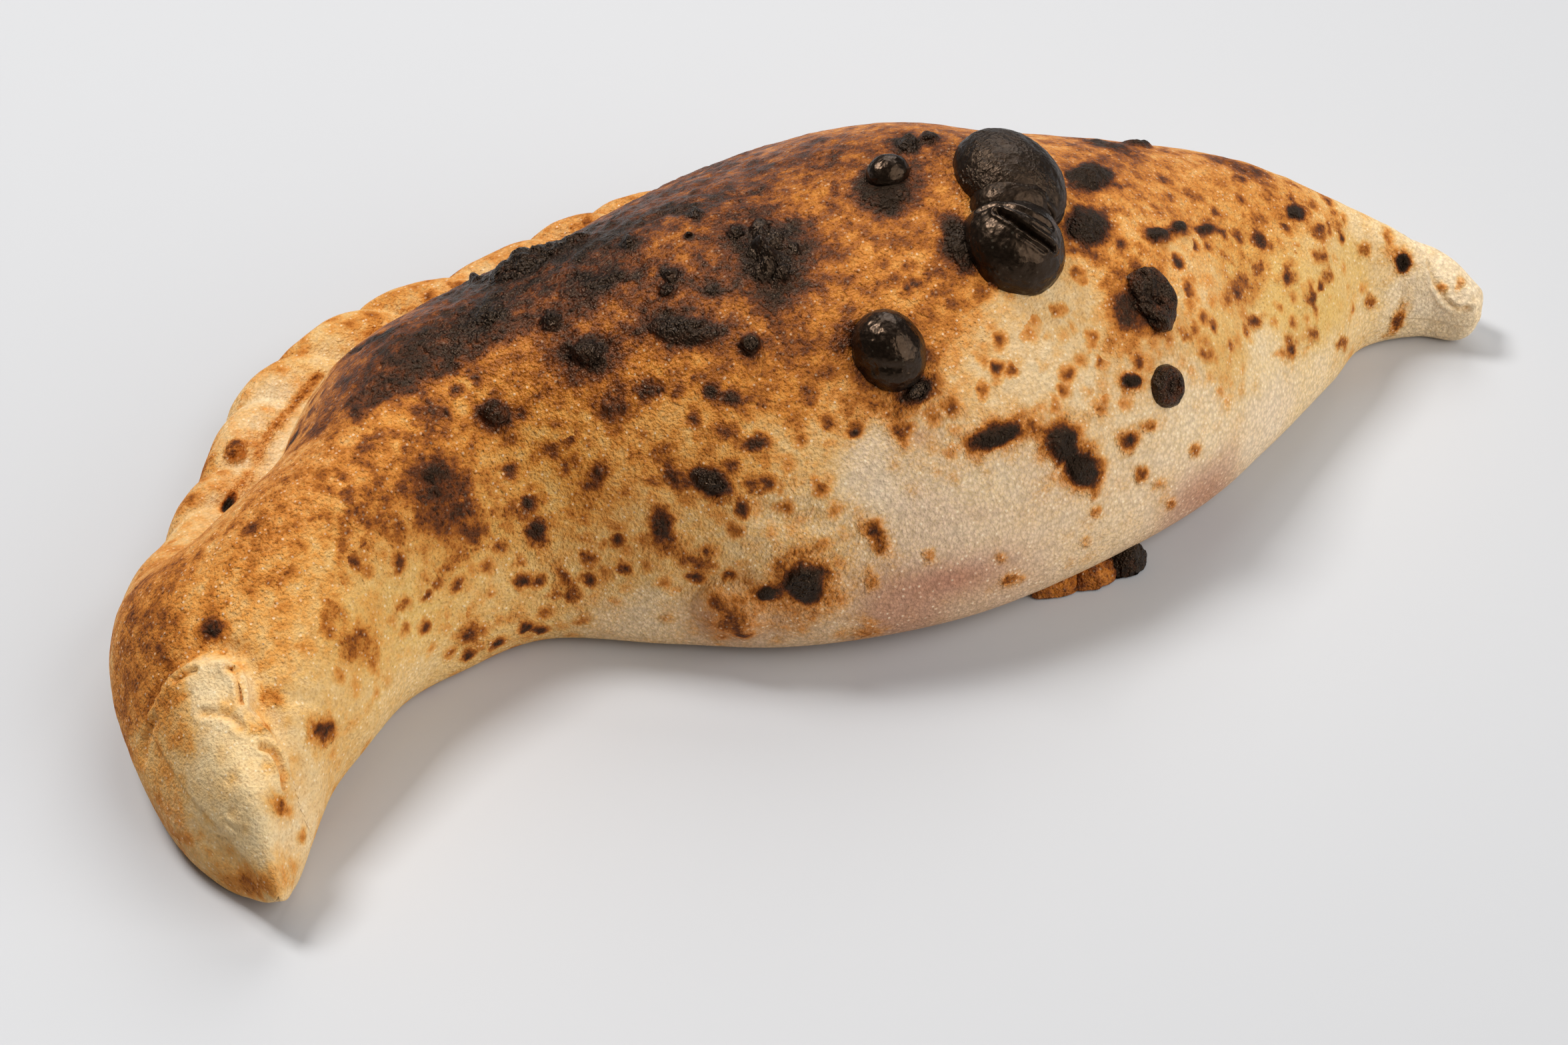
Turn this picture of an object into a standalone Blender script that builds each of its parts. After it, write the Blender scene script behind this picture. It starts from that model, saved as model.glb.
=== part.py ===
# Calzone: one round of dough folded over its filling, sealed along a crimped rim and baked dark.
# It lies flat with the folded edge to -Y, the crimped rim to +Y and its two tips at -X and +X.
# All lengths are millimetres, and the mesh is written in metres.

import math

import bmesh
import bpy
import numpy as np
from mathutils import Matrix, Vector, noise
from mathutils.bvhtree import BVHTree

MM = 0.001
ORIGIN = (149.16, 57.15)  # plan point of the outline below that lies over the origin

# Outline seen from above, from the left tip to the right tip.
# A row holds the folded edge's x and y, the rim edge's x and y, and the height of the crown.
OUTLINE = np.array(
    [
        (0, -8.5, 0, -8.5, 19),
        (6, -3, -3, 1.5, 23),
        (14, 5, -7, 16, 28),
        (23.5, 13.5, -5.5, 37.5, 34.5),
        (34.5, 19.5, 1.5, 60, 41),
        (47.5, 26.5, 14, 78.5, 47),
        (61.5, 29, 36.5, 98.5, 51.5),
        (80, 26.5, 62, 123.5, 56),
        (99.5, 10, 91, 132.5, 61),
        (117.5, -4.5, 117, 133, 67.5),
        (148.5, -17, 148, 135, 71.5),
        (180.5, -20, 180.5, 132.5, 73),
        (211, -17.5, 212.5, 122, 62.5),
        (238, -8.5, 245, 105, 50.5),
        (263, 1, 270.5, 81.5, 41),
        (278, 7.5, 286.5, 55, 30.5),
        (292, 4, 296.5, 29, 21.5),
        (302, -2.5, 305, 8, 16.5),
        (306.5, 2, 306.5, 2, 15),
    ],
    float,
)
TIP_ROUNDING = 16.0  # length over which a tip rounds off
TIP_LIFT = 10.0  # height of a tip's point above the table

RIM_WIDTH = 19.0
RIM_HEIGHT = 20.0
CREASE_HEIGHT = 13.0  # lowest line of the valley between the rim and the dome
RIM_STARTS = (0.12, 0.26)  # shares of the length where the rim rises out of the left tip
RIM_ENDS = (0.86, 0.97)

# The rim is pinched in at these distances along the outline, and then at a regular pitch.
PINCHES = [86, 97, 115, 130, 150, 171, 196, 212, 230]
PINCH_PITCH = 18.0
PINCH_DEPTH = 2.4
PINCH_SLANT = 95.0  # how far a pinch runs along the rim for each turn round the section
PINCH_SHARPNESS = 3.0  # power of the valley's profile
PINCH_RISES = (0.49, 0.58)  # shares of the section curve, from the crease outwards
PINCH_FALLS = (0.69, 0.775)
RIM_TOP = 0.66

LUMP_HEIGHT = 0.7  # slow rise and fall of the dough
RELIEF_FADE = (2.0, 12.0)  # the relief grows between these distances from the table and a tip
FOLD_SIDES = (0.12, 0.5)  # shares of the section curve where a fold shows
FLAP_LENGTH = 60.0
TIP_FOLD_LENGTH = 50.0
GROOVE_START = 1.5  # width of a fold's steep side, and where its groove lies and how wide it is
GROOVE_PLACE = 3.0
GROOVE_WIDTH = 2.0
FLAP_EDGE = [(1, 30), (5, 28.5), (11, 23.5), (10, 19), (8.5, 15.5), (10, 11.5), (10.5, 6.5)]
FLAP_LIFT = 1.7
FLAP_SPREAD = 9.0
TIP_FOLD = [(292.5, 10.5), (293, 5), (296.5, 0), (301, -3)]
TIP_FOLD_LIFT = 1.1
TIP_FOLD_SPREAD = 6.0

# Baked bubbles: plan x and y, length along X, length along Y, height above the crust.
BUBBLES = [
    (190.3, 28.7, 21, 21, 7.0),
    (180.2, 12.1, 21, 22, 7.5),
    (146.0, 7.5, 16, 18, 7.0),
    (168.0, 38.5, 9, 8, 3.5),
    (122.0, 19.0, 6, 6, 2.5),
    (97.3, 38.4, 8, 8, 3.0),
    (78.6, 43.2, 7, 7, 2.2),
    (224.0, 43.0, 6, 5, 1.6),
    (220.0, 13.3, 10, 6, 2.4),
    (205.0, -1.6, 10, 15, 3.6),
    (200.7, -12.6, 8, 9, 3.6),
    (107.0, 10.0, 8, 7, 1.8),
]
# Charred crags, measured as the bubbles are.
CRAGS = [
    (136.2, 32.5, 8, 16, 2.6),
    (102.5, 73.0, 12, 8, 3.5),
    (112.5, 72.0, 10, 7, 3.0),
]
CRAG_ROUGHNESS = 0.28  # share of a crag's size that its surface rises and falls
CRAG_GRAIN = 2.3  # lumps for each radius
# Burnt filling that ran out at the folded edge: plan x and y, length, width and height.
DRIP = [(177, -13, 12, 6, 4.5), (183, -14.5, 10, 7, 5), (190, -16, 10, 8, 6.5)]
DRIP_CLEARANCE = 0.4  # the drip hangs this far above the table

STEPS_ALONG = 104
STEPS_ROUND = 34
WIDE_BUBBLE = 12.0  # a bubble longer than this gets the finer mesh

# Share of the section curve that is drawn, from the front foot over the crown to the back foot.
# The rest of the curve is the flat bottom.
FRONT_FOOT = -1 / 18
BACK_FOOT = 14 / 18


def steps(points):
    return np.hypot(*np.diff(points, axis=0).T)


DISTANCE = np.concatenate([[0], np.cumsum(steps(OUTLINE[:, :2]) + steps(OUTLINE[:, 2:4]))]) / 2
LENGTH = DISTANCE[-1]


def ramp(low, high, value):
    """0 below low, 1 above high, and a smooth rise between them."""
    share = np.clip((value - low) / (high - low), 0, 1)
    return share * share * (3 - 2 * share)


def curve_through(knots, values, at):
    """Smooth curve that passes through each value at its knot."""
    gap = np.diff(knots)
    slope = np.diff(values, axis=0) / gap[:, None]
    inner = slope[:-1] * gap[1:, None] + slope[1:] * gap[:-1, None]
    tangent = np.vstack([slope[:1], inner / (gap[:-1] + gap[1:])[:, None], slope[-1:]])
    i = int(np.clip(np.searchsorted(knots, at, side="right") - 1, 0, len(gap) - 1))
    u = (at - knots[i]) / gap[i]
    start = values[i] * (2 * u**3 - 3 * u**2 + 1) + tangent[i] * gap[i] * (u**3 - 2 * u**2 + u)
    end = values[i + 1] * (3 * u**2 - 2 * u**3) + tangent[i + 1] * gap[i] * (u**3 - u**2)
    return start + end


def round_curve(points, turn):
    """Closed cubic B-spline: a point for a share of the whole turn."""
    place = turn * len(points)
    i = math.floor(place)
    f = place - i
    weights = (
        (1 - f) ** 3 / 6,
        (3 * f**3 - 6 * f**2 + 4) / 6,
        (-3 * f**3 + 3 * f**2 + 3 * f + 1) / 6,
        f**3 / 6,
    )
    return sum(weight * points[(i + k - 1) % len(points)] for k, weight in enumerate(weights))


def domed_section(width, height):
    """Section over the filling: distance from the folded edge, and height, of its control points."""
    dome = width - RIM_WIDTH
    front = [(0.10, 0), (0.01, 0.04), (-0.025, 0.28), (0.055, 0.66), (0.235, 0.97)]
    back = [(0.47, 1.07), (0.67, 0.90), (0.83, 0.66), (0.945, 0.41)]
    rim = [
        (dome - 1, CREASE_HEIGHT),
        (dome + 0.4 * RIM_WIDTH, RIM_HEIGHT),
        (dome + 0.85 * RIM_WIDTH, RIM_HEIGHT - 1),
        (dome + 1.13 * RIM_WIDTH, 0.45 * RIM_HEIGHT),
        (dome + 0.9 * RIM_WIDTH, 0),
    ]
    bottom = [(share * dome, 0) for share in (1, 0.75, 0.5, 0.25)]
    return np.array([(x * dome, z * height) for x, z in front + back] + rim + bottom)


def plain_section(width, low, high):
    """Section near a tip, where the dough is rolled to a plain round."""
    front = [(0.22, 0), (0.05, 0.02), (-0.05, 0.30), (0, 0.64), (0.15, 0.93), (0.36, 1.06)]
    back = [(0.55, 1.07), (0.70, 1), (0.83, 0.88), (0.93, 0.72), (1, 0.54), (1.04, 0.36)]
    bottom = [(1.03, 0.16), (0.95, 0), (0.82, 0), (0.65, 0), (0.50, 0), (0.35, 0)]
    return np.array([(x * width, low + z * (high - low)) for x, z in front + back + bottom])


def rim_share(along):
    share = along / LENGTH
    return ramp(*RIM_STARTS, share) * (1 - ramp(*RIM_ENDS, share))


def edges_at(along):
    """Folded edge, rim edge and crown height at a distance from the left tip."""
    knots = np.concatenate([-DISTANCE[:0:-1], DISTANCE, 2 * LENGTH - DISTANCE[-2::-1]])
    loop = np.vstack([OUTLINE[:0:-1, 2:4], OUTLINE[:, :2], OUTLINE[-2::-1, 2:4]])
    front = curve_through(knots, loop, along)
    back = curve_through(knots, loop, -along)
    height = curve_through(DISTANCE, OUTLINE[:, 4:], along)[0]
    return front, back, height


def smooth_point(along, turn):
    """Point of the dough before its relief."""
    front, back, height = edges_at(along)
    rounding = math.sin(math.pi / 2 * min(1, min(along, LENGTH - along) / TIP_ROUNDING))
    low = TIP_LIFT * (1 - rounding)
    high = TIP_LIFT + (height - TIP_LIFT) * rounding
    across = back - front
    width = float(np.hypot(*across))
    if width < 1e-6:
        return np.array([front[0], front[1], TIP_LIFT])
    domed = round_curve(domed_section(width, high), turn)
    plain = round_curve(plain_section(width, low, high), turn)
    offset, z = plain + (domed - plain) * rim_share(along)
    x, y = front + across / width * offset
    return np.array([x, y, z])


def all_pinches():
    """Distances of the pinches along the rim, with the regular ones past the last that is given."""
    places = list(PINCHES)
    while places[-1] < LENGTH:
        places.append(places[-1] + PINCH_PITCH)
    return np.array(places, float)


def pinch(along, turn):
    """Depth of the rim's pinches: a sharp valley at each one and a full lobe between two."""
    places = all_pinches()
    place = along + PINCH_SLANT * (turn - RIM_TOP)
    i = int(np.clip(np.searchsorted(places, place) - 1, 0, len(places) - 2))
    share = np.clip((place - places[i]) / (places[i + 1] - places[i]), 0, 1)
    valley = abs(2 * share - 1) ** PINCH_SHARPNESS
    window = ramp(*PINCH_RISES, turn) * (1 - ramp(*PINCH_FALLS, turn))
    begins = ramp(PINCHES[0] - 12, PINCHES[0], along)
    return -PINCH_DEPTH * valley * window * begins * rim_share(along)


def lumps(along, turn):
    slow = math.sin(along / 17 + 1.3) * math.sin(19 * turn + 0.7)
    quick = math.sin(along / 9.5 + 4) * math.sin(31 * turn + 2)
    return LUMP_HEIGHT * (slow + 0.6 * quick)


def fold_relief(x, y, edge, lift, spread):
    """Raised lip on the left of an edge drawn in plan, with a groove at its foot."""
    nearest = math.inf
    side = 1
    for (ax, ay), (bx, by) in zip(edge, edge[1:]):
        dx, dy = bx - ax, by - ay
        share = min(1, max(0, ((x - ax) * dx + (y - ay) * dy) / (dx * dx + dy * dy)))
        away = math.hypot(x - ax - share * dx, y - ay - share * dy)
        if away < nearest:
            nearest = away
            side = dx * (y - ay) - dy * (x - ax)
    if side < 0:
        return lift * math.exp(-nearest / spread)
    groove = math.exp(-(((nearest - GROOVE_PLACE) / GROOVE_WIDTH) ** 2))
    return lift * (math.exp(-nearest / GROOVE_START) - 0.8 * groove)


def relief(point, along, turn):
    """Height of the relief along the surface's normal. It dies out towards the flat bottom."""
    x, y, z = point
    height = pinch(along, turn) + lumps(along, turn)
    if FOLD_SIDES[0] < turn < FOLD_SIDES[1]:
        if along < FLAP_LENGTH:
            height += fold_relief(x, y, FLAP_EDGE, FLAP_LIFT, FLAP_SPREAD)
        if along > LENGTH - TIP_FOLD_LENGTH:
            height += fold_relief(x, y, TIP_FOLD, TIP_FOLD_LIFT, TIP_FOLD_SPREAD)
    tips = ramp(*RELIEF_FADE, along) * ramp(*RELIEF_FADE, LENGTH - along)
    return height * ramp(*RELIEF_FADE, z) * tips


def surface_points():
    """Grid of the dough's points: rows from tip to tip, and in each row from foot to foot."""
    share = np.linspace(0, 1, STEPS_ALONG + 1)
    along = LENGTH * (share + (1 - np.cos(math.pi * share)) / 2) / 2
    turn = np.linspace(FRONT_FOOT, BACK_FOOT, STEPS_ROUND + 1)
    grid = np.array([[smooth_point(s, t % 1) for t in turn] for s in along])
    normal = np.cross(np.gradient(grid, axis=0), np.gradient(grid, axis=1))
    normal /= np.maximum(np.linalg.norm(normal, axis=-1, keepdims=True), 1e-9)
    height = np.array(
        [[relief(p, s, t % 1) for p, t in zip(row, turn)] for row, s in zip(grid, along)]
    )
    grid += normal * height[..., None]
    grid[..., :2] -= ORIGIN
    return grid


def object_from(mesh_source, name, collection):
    mesh = bpy.data.meshes.new(name)
    bmesh.ops.recalc_face_normals(mesh_source, faces=mesh_source.faces)
    mesh_source.to_mesh(mesh)
    mesh_source.free()
    made = bpy.data.objects.new(name, mesh)
    collection.objects.link(made)
    return made


def make_dough(collection):
    """Loft through the sections, closed by a fan at each tip and by the flat bottom."""
    grid = surface_points() * MM
    source = bmesh.new()
    rows = [[source.verts.new(point) for point in row] for row in grid[1:-1]]
    tips = [source.verts.new(grid[0, 0]), source.verts.new(grid[-1, 0])]
    for row, after in zip(rows, rows[1:]):
        for i in range(len(row)):
            j = (i + 1) % len(row)
            source.faces.new((row[i], row[j], after[j], after[i]))
    for tip, row in zip(tips, (rows[0], rows[-1])):
        for i in range(len(row)):
            source.faces.new((tip, row[i], row[(i + 1) % len(row)]))
    return object_from(source, "calzone", collection)


def seat_on(tree, x, y):
    """Point of the crust under a plan point, and the crust's normal there."""
    above = Vector(((x - ORIGIN[0]) * MM, (y - ORIGIN[1]) * MM, 1))
    point, normal, _, _ = tree.ray_cast(above, Vector((0, 0, -1)))
    return point, normal


def make_bubble(tree, size, name, collection, roughness=0.0):
    """Half-sunk ellipsoid on the crust, standing square to it."""
    x, y, length, width, height = size
    point, normal = seat_on(tree, x, y)
    source = bmesh.new()
    sides, rings = (16, 10) if max(length, width) > WIDE_BUBBLE else (10, 8)
    bmesh.ops.create_uvsphere(source, u_segments=sides, v_segments=rings, radius=1)
    for vertex in source.verts:
        lump = noise.noise(vertex.co * CRAG_GRAIN + Vector((x, y, 0)))
        vertex.co *= 1 + roughness * lump
    turned = normal.to_track_quat("Z", "Y").to_matrix().to_4x4()
    heading = turned.to_3x3() @ Vector((1, 0, 0))
    level = Matrix.Rotation(-math.atan2(heading.y, heading.x), 4, normal)
    scale = Matrix.Diagonal((length / 2 * MM, width / 2 * MM, height * MM, 1))
    source.transform(Matrix.Translation(point) @ level @ turned @ scale)
    return object_from(source, name, collection)


def make_drip(size, name, collection):
    """Squat lump of burnt filling at the foot of the folded edge."""
    x, y, length, width, height = size
    source = bmesh.new()
    bmesh.ops.create_uvsphere(source, u_segments=12, v_segments=8, radius=1)
    for vertex in source.verts:
        lump = noise.noise(vertex.co * CRAG_GRAIN + Vector((x, y, 0)))
        vertex.co *= 1 + CRAG_ROUGHNESS * lump
    place = Matrix.Translation(((x - ORIGIN[0]) * MM, (y - ORIGIN[1]) * MM, 0))
    source.transform(place @ Matrix.Diagonal((length / 2 * MM, width / 2 * MM, height * MM, 1)))
    cut = bmesh.ops.bisect_plane(
        source,
        geom=source.verts[:] + source.edges[:] + source.faces[:],
        plane_co=(0, 0, DRIP_CLEARANCE * MM),
        plane_no=(0, 0, -1),
        clear_outer=True,
    )
    rim = [part for part in cut["geom_cut"] if isinstance(part, bmesh.types.BMEdge)]
    bmesh.ops.contextual_create(source, geom=rim)
    return object_from(source, name, collection)


def fuse(body, added):
    """One solid from the body and every object of a collection, which are then removed."""
    union = body.modifiers.new("Union", "BOOLEAN")
    union.operation = "UNION"
    union.operand_type = "COLLECTION"
    union.collection = added
    union.solver = "EXACT"
    bpy.context.view_layer.update()
    evaluated = body.evaluated_get(bpy.context.evaluated_depsgraph_get())
    fused = bpy.data.meshes.new_from_object(evaluated)
    body.modifiers.clear()
    body.data = fused
    for helper in list(added.objects):
        bpy.data.objects.remove(helper)
    bpy.data.collections.remove(added)


def baked_dough():
    """Matt to satin baked crust, golden brown."""
    material = bpy.data.materials.new("Baked dough")
    material.use_nodes = True
    shader = material.node_tree.nodes["Principled BSDF"]
    shader.inputs["Base Color"].default_value = (0.52, 0.28, 0.10, 1)
    shader.inputs["Roughness"].default_value = 0.6
    shader.inputs["Metallic"].default_value = 0.0
    return material


def new_collection(name):
    collection = bpy.data.collections.new(name)
    bpy.context.scene.collection.children.link(collection)
    return collection


def build():
    for old in list(bpy.data.objects):
        bpy.data.objects.remove(old)
    dough = make_dough(new_collection("Calzone"))
    bpy.context.view_layer.update()
    crust = BVHTree.FromObject(dough, bpy.context.evaluated_depsgraph_get())
    added = new_collection("Fused pieces")
    for i, size in enumerate(BUBBLES):
        make_bubble(crust, size, f"bubble_{i}", added)
    for i, size in enumerate(CRAGS):
        make_bubble(crust, size, f"crag_{i}", added, CRAG_ROUGHNESS)
    for i, size in enumerate(DRIP):
        make_drip(size, f"drip_{i}", added)
    fuse(dough, added)
    dough.data.materials.clear()
    dough.data.materials.append(baked_dough())
    dough.data.shade_smooth()
    dough.data.set_sharp_from_angle(angle=math.radians(40))


build()
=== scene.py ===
import math

import bpy
import numpy as np
from mathutils import Matrix, Vector
from mathutils.bvhtree import BVHTree


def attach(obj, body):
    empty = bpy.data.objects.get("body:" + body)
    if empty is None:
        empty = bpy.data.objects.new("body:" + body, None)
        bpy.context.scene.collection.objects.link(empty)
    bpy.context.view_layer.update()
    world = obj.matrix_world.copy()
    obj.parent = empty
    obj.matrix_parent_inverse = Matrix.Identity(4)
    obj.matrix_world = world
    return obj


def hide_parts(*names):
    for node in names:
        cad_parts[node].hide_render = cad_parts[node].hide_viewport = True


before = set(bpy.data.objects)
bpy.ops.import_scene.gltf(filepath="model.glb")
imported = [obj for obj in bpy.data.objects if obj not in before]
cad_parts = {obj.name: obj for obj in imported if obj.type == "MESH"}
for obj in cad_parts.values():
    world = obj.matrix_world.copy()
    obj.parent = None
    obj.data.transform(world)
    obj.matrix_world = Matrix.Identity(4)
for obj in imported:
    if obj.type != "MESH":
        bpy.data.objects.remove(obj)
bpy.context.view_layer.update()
mm = 0.001

# The camera stands where the photograph's did. Its frame gives every pixel place below.
photo = {
    "target": (-8.96, -22.85, 0.0),  # mm, on the table
    "azimuth": -34.4,
    "elevation": 41.0,
    "distance": 684.0,
    "lens": 75.0,
    "sensor": 36.0,
    "width": 2352,
    "height": 1568,
}


def photoAxes():
    azimuth, elevation = math.radians(photo["azimuth"]), math.radians(photo["elevation"])
    back = Vector((
        math.sin(azimuth) * math.cos(elevation),
        -math.cos(azimuth) * math.cos(elevation),
        math.sin(elevation),
    ))
    right = (-back).cross(Vector((0, 0, 1))).normalized()
    return right, right.cross(-back), back


def addCamera():
    _, _, back = photoAxes()
    data = bpy.data.cameras.new("photoCamera")
    data.lens = photo["lens"]
    data.sensor_width = photo["sensor"]
    camera = bpy.data.objects.new("photoCamera", data)
    bpy.context.scene.collection.objects.link(camera)
    camera.location = (Vector(photo["target"]) + back * photo["distance"]) * mm
    camera.rotation_mode = "QUATERNION"
    camera.rotation_quaternion = (-back).to_track_quat("-Z", "Y")
    bpy.context.scene.camera = camera


addCamera()
print("camera placed")


# The dough's shape, in mm, with the same sizes as the solid that it stands for.
dough = {
    "origin": (149.16, 57.15),
    "outline": [  # folded edge x, y, rim edge x, y, crown height
        (0, -8.5, 0, -8.5, 19),
        (6, -3, -3, 1.5, 23),
        (14, 5, -7, 16, 28),
        (23.5, 13.5, -5.5, 37.5, 34.5),
        (34.5, 19.5, 1.5, 60, 41),
        (47.5, 26.5, 14, 78.5, 47),
        (61.5, 29, 36.5, 98.5, 51.5),
        (80, 26.5, 62, 123.5, 56),
        (99.5, 10, 91, 132.5, 61),
        (117.5, -4.5, 117, 133, 67.5),
        (148.5, -17, 148, 135, 71.5),
        (180.5, -20, 180.5, 132.5, 73),
        (211, -17.5, 212.5, 122, 62.5),
        (238, -8.5, 245, 105, 50.5),
        (263, 1, 270.5, 81.5, 41),
        (278, 7.5, 286.5, 55, 30.5),
        (292, 4, 296.5, 29, 21.5),
        (302, -2.5, 305, 8, 16.5),
        (306.5, 2, 306.5, 2, 15),
    ],
    "tipRounding": 16.0,
    "tipLift": 10.0,
    "rimWidth": 19.0,
    "rimHeight": 20.0,
    "creaseHeight": 13.0,
    "rimStarts": (0.12, 0.26),
    "rimEnds": (0.86, 0.97),
    "pinches": [86, 97, 115, 130, 150, 171, 196, 212, 230],
    "pinchPitch": 18.0,
    "pinchDepth": 2.4,
    "pinchSlant": 95.0,
    "pinchSharpness": 3,
    "pinchStart": 12.0,  # mm over which the first one begins
    "pinchTurns": (0.49, 0.58, 0.69, 0.775),  # shares of the section curve: starts, full, fades, ends
    "rimTurn": 0.66,  # share of the section curve at the top of the rim
    "lobeContrast": 2.4,  # how much less a valley of the rim browns than its lobes
    # mm along and start, waves round the section and start, share of the height
    "lumpWaves": [(17, 1.3, 19, 0.7, 1.0), (9.5, 4, 31, 2, 0.6)],
    "lumpHeight": 0.7,
    "flapEdge": [(1, 30), (5, 28.5), (11, 23.5), (10, 19), (8.5, 15.5), (10, 11.5), (10.5, 6.5)],
    "flapLift": 1.7,
    "flapSpread": 9.0,
    "tipFold": [(292.5, 10.5), (293, 5), (296.5, 0), (301, -3)],
    "tipFoldLift": 1.1,
    "tipFoldSpread": 6.0,
    "flapLength": 60.0,
    "tipFoldLength": 50.0,
    "foldTurns": (0.12, 0.5),
    "foldFoot": (1.5, 0.8, 3.0, 2.0),  # under a lip: its fall, then depth, place and width of the ditch
    "reliefFade": (2.0, 12.0),  # mm from the table or a tip over which the relief grows
    "stepsAlong": 700,
    "stepsRound": 408,
    "strips": 3,
    "feet": (-1 / 18, 14 / 18),  # shares of the section curve at the front and back foot
    # how fine the steps are over the section curve: bottom, folded side and crest, back, rim
    "fineness": [
        (0, 0.15), (0.02, 1), (0.36, 1), (0.42, 0.5),
        (0.48, 0.5), (0.5, 0.9), (0.73, 0.9), (0.75, 0.3),
    ],
    "curveSamples": 2001,
}
outline = np.array(dough["outline"], float)


def steps(points):
    return np.hypot(*np.diff(points, axis=0).T)


distance = np.concatenate([[0], np.cumsum(steps(outline[:, :2]) + steps(outline[:, 2:4]))]) / 2
length = distance[-1]


def ramp(low, high, value):
    share = np.clip((value - low) / (high - low), 0, 1)
    return share * share * (3 - 2 * share)


def curveThrough(knots, values, at):
    gap = np.diff(knots)
    slope = np.diff(values, axis=0) / gap[:, None]
    inner = slope[:-1] * gap[1:, None] + slope[1:] * gap[:-1, None]
    tangent = np.vstack([slope[:1], inner / (gap[:-1] + gap[1:])[:, None], slope[-1:]])
    i = np.clip(np.searchsorted(knots, at, side="right") - 1, 0, len(gap) - 1)
    size = gap[i][:, None]
    u = (at - knots[i])[:, None] / size
    start = values[i] * (2 * u**3 - 3 * u**2 + 1) + tangent[i] * size * (u**3 - 2 * u**2 + u)
    end = values[i + 1] * (3 * u**2 - 2 * u**3) + tangent[i + 1] * size * (u**3 - u**2)
    return start + end


def roundCurve(points, turn):
    count = points.shape[1]
    place = turn * count
    i = np.floor(place).astype(int)
    f = (place - i)[None, :, None]
    weights = (
        (1 - f) ** 3 / 6,
        (3 * f**3 - 6 * f**2 + 4) / 6,
        (-3 * f**3 + 3 * f**2 + 3 * f + 1) / 6,
        f**3 / 6,
    )
    return sum(weight * points[:, (i + k - 1) % count] for k, weight in enumerate(weights))


def domedSection(width, high):
    rim, top = dough["rimWidth"], dough["rimHeight"]
    dome = width - rim
    front = [(0.10, 0), (0.01, 0.04), (-0.025, 0.28), (0.055, 0.66), (0.235, 0.97)]
    back = [(0.47, 1.07), (0.67, 0.90), (0.83, 0.66), (0.945, 0.41)]
    points = [(x * dome, z * high) for x, z in front + back]
    edge = [(-1, dough["creaseHeight"]), (0.4 * rim, top), (0.85 * rim, top - 1)]
    edge += [(1.13 * rim, 0.45 * top), (0.9 * rim, 0)]
    points += [(dome + x, np.full_like(dome, z)) for x, z in edge]
    points += [(share * dome, 0 * dome) for share in (1, 0.75, 0.5, 0.25)]
    return np.stack([np.stack(point, -1) for point in points], 1)


def plainSection(width, low, high):
    front = [(0.22, 0), (0.05, 0.02), (-0.05, 0.30), (0, 0.64), (0.15, 0.93), (0.36, 1.06)]
    back = [(0.55, 1.07), (0.70, 1), (0.83, 0.88), (0.93, 0.72), (1, 0.54), (1.04, 0.36)]
    bottom = [(1.03, 0.16), (0.95, 0), (0.82, 0), (0.65, 0), (0.50, 0), (0.35, 0)]
    points = [(x * width, low + z * (high - low)) for x, z in front + back + bottom]
    return np.stack([np.stack(point, -1) for point in points], 1)


def rimShare(along):
    share = along / length
    return ramp(*dough["rimStarts"], share) * (1 - ramp(*dough["rimEnds"], share))


def smoothDough(along, turn):
    knots = np.concatenate([-distance[:0:-1], distance, 2 * length - distance[-2::-1]])
    loop = np.vstack([outline[:0:-1, 2:4], outline[:, :2], outline[-2::-1, 2:4]])
    front = curveThrough(knots, loop, along)
    back = curveThrough(knots, loop, -along)
    height = curveThrough(distance, outline[:, 4:], along)[:, 0]
    near = np.minimum(along, length - along) / dough["tipRounding"]
    rounding = np.sin(math.pi / 2 * np.clip(near, 0, 1))
    low = dough["tipLift"] * (1 - rounding)
    high = dough["tipLift"] + (height - dough["tipLift"]) * rounding
    across = back - front
    width = np.maximum(np.hypot(*across.T), 1e-6)
    plain = roundCurve(plainSection(width, low, high), turn)
    domed = roundCurve(domedSection(width, high), turn)
    section = plain + (domed - plain) * rimShare(along)[:, None, None]
    plan = front[:, None] + (across / width[:, None])[:, None] * section[..., :1]
    return np.concatenate([plan, section[..., 1:]], -1)


# How deep in a valley between two lobes of the rim a point is, and how much of the rim is there.
def pinch(along, turn):
    places = list(dough["pinches"])
    while places[-1] < length:
        places.append(places[-1] + dough["pinchPitch"])
    places = np.array(places, float)
    place = along + dough["pinchSlant"] * (turn - dough["rimTurn"])
    i = np.clip(np.searchsorted(places, place) - 1, 0, len(places) - 2)
    share = np.clip((place - places[i]) / (places[i + 1] - places[i]), 0, 1)
    starts, full, fades, ends = dough["pinchTurns"]
    window = ramp(starts, full, turn) * (1 - ramp(fades, ends, turn))
    begins = ramp(places[0] - dough["pinchStart"], places[0], along)
    return abs(2 * share - 1) ** dough["pinchSharpness"], window * begins * rimShare(along)


def lumps(along, turn):
    waves = [
        share * (np.sin(along / size + shift) * np.sin(count * turn + start))
        for size, shift, count, start, share in dough["lumpWaves"]
    ]
    return dough["lumpHeight"] * sum(waves)


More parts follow.
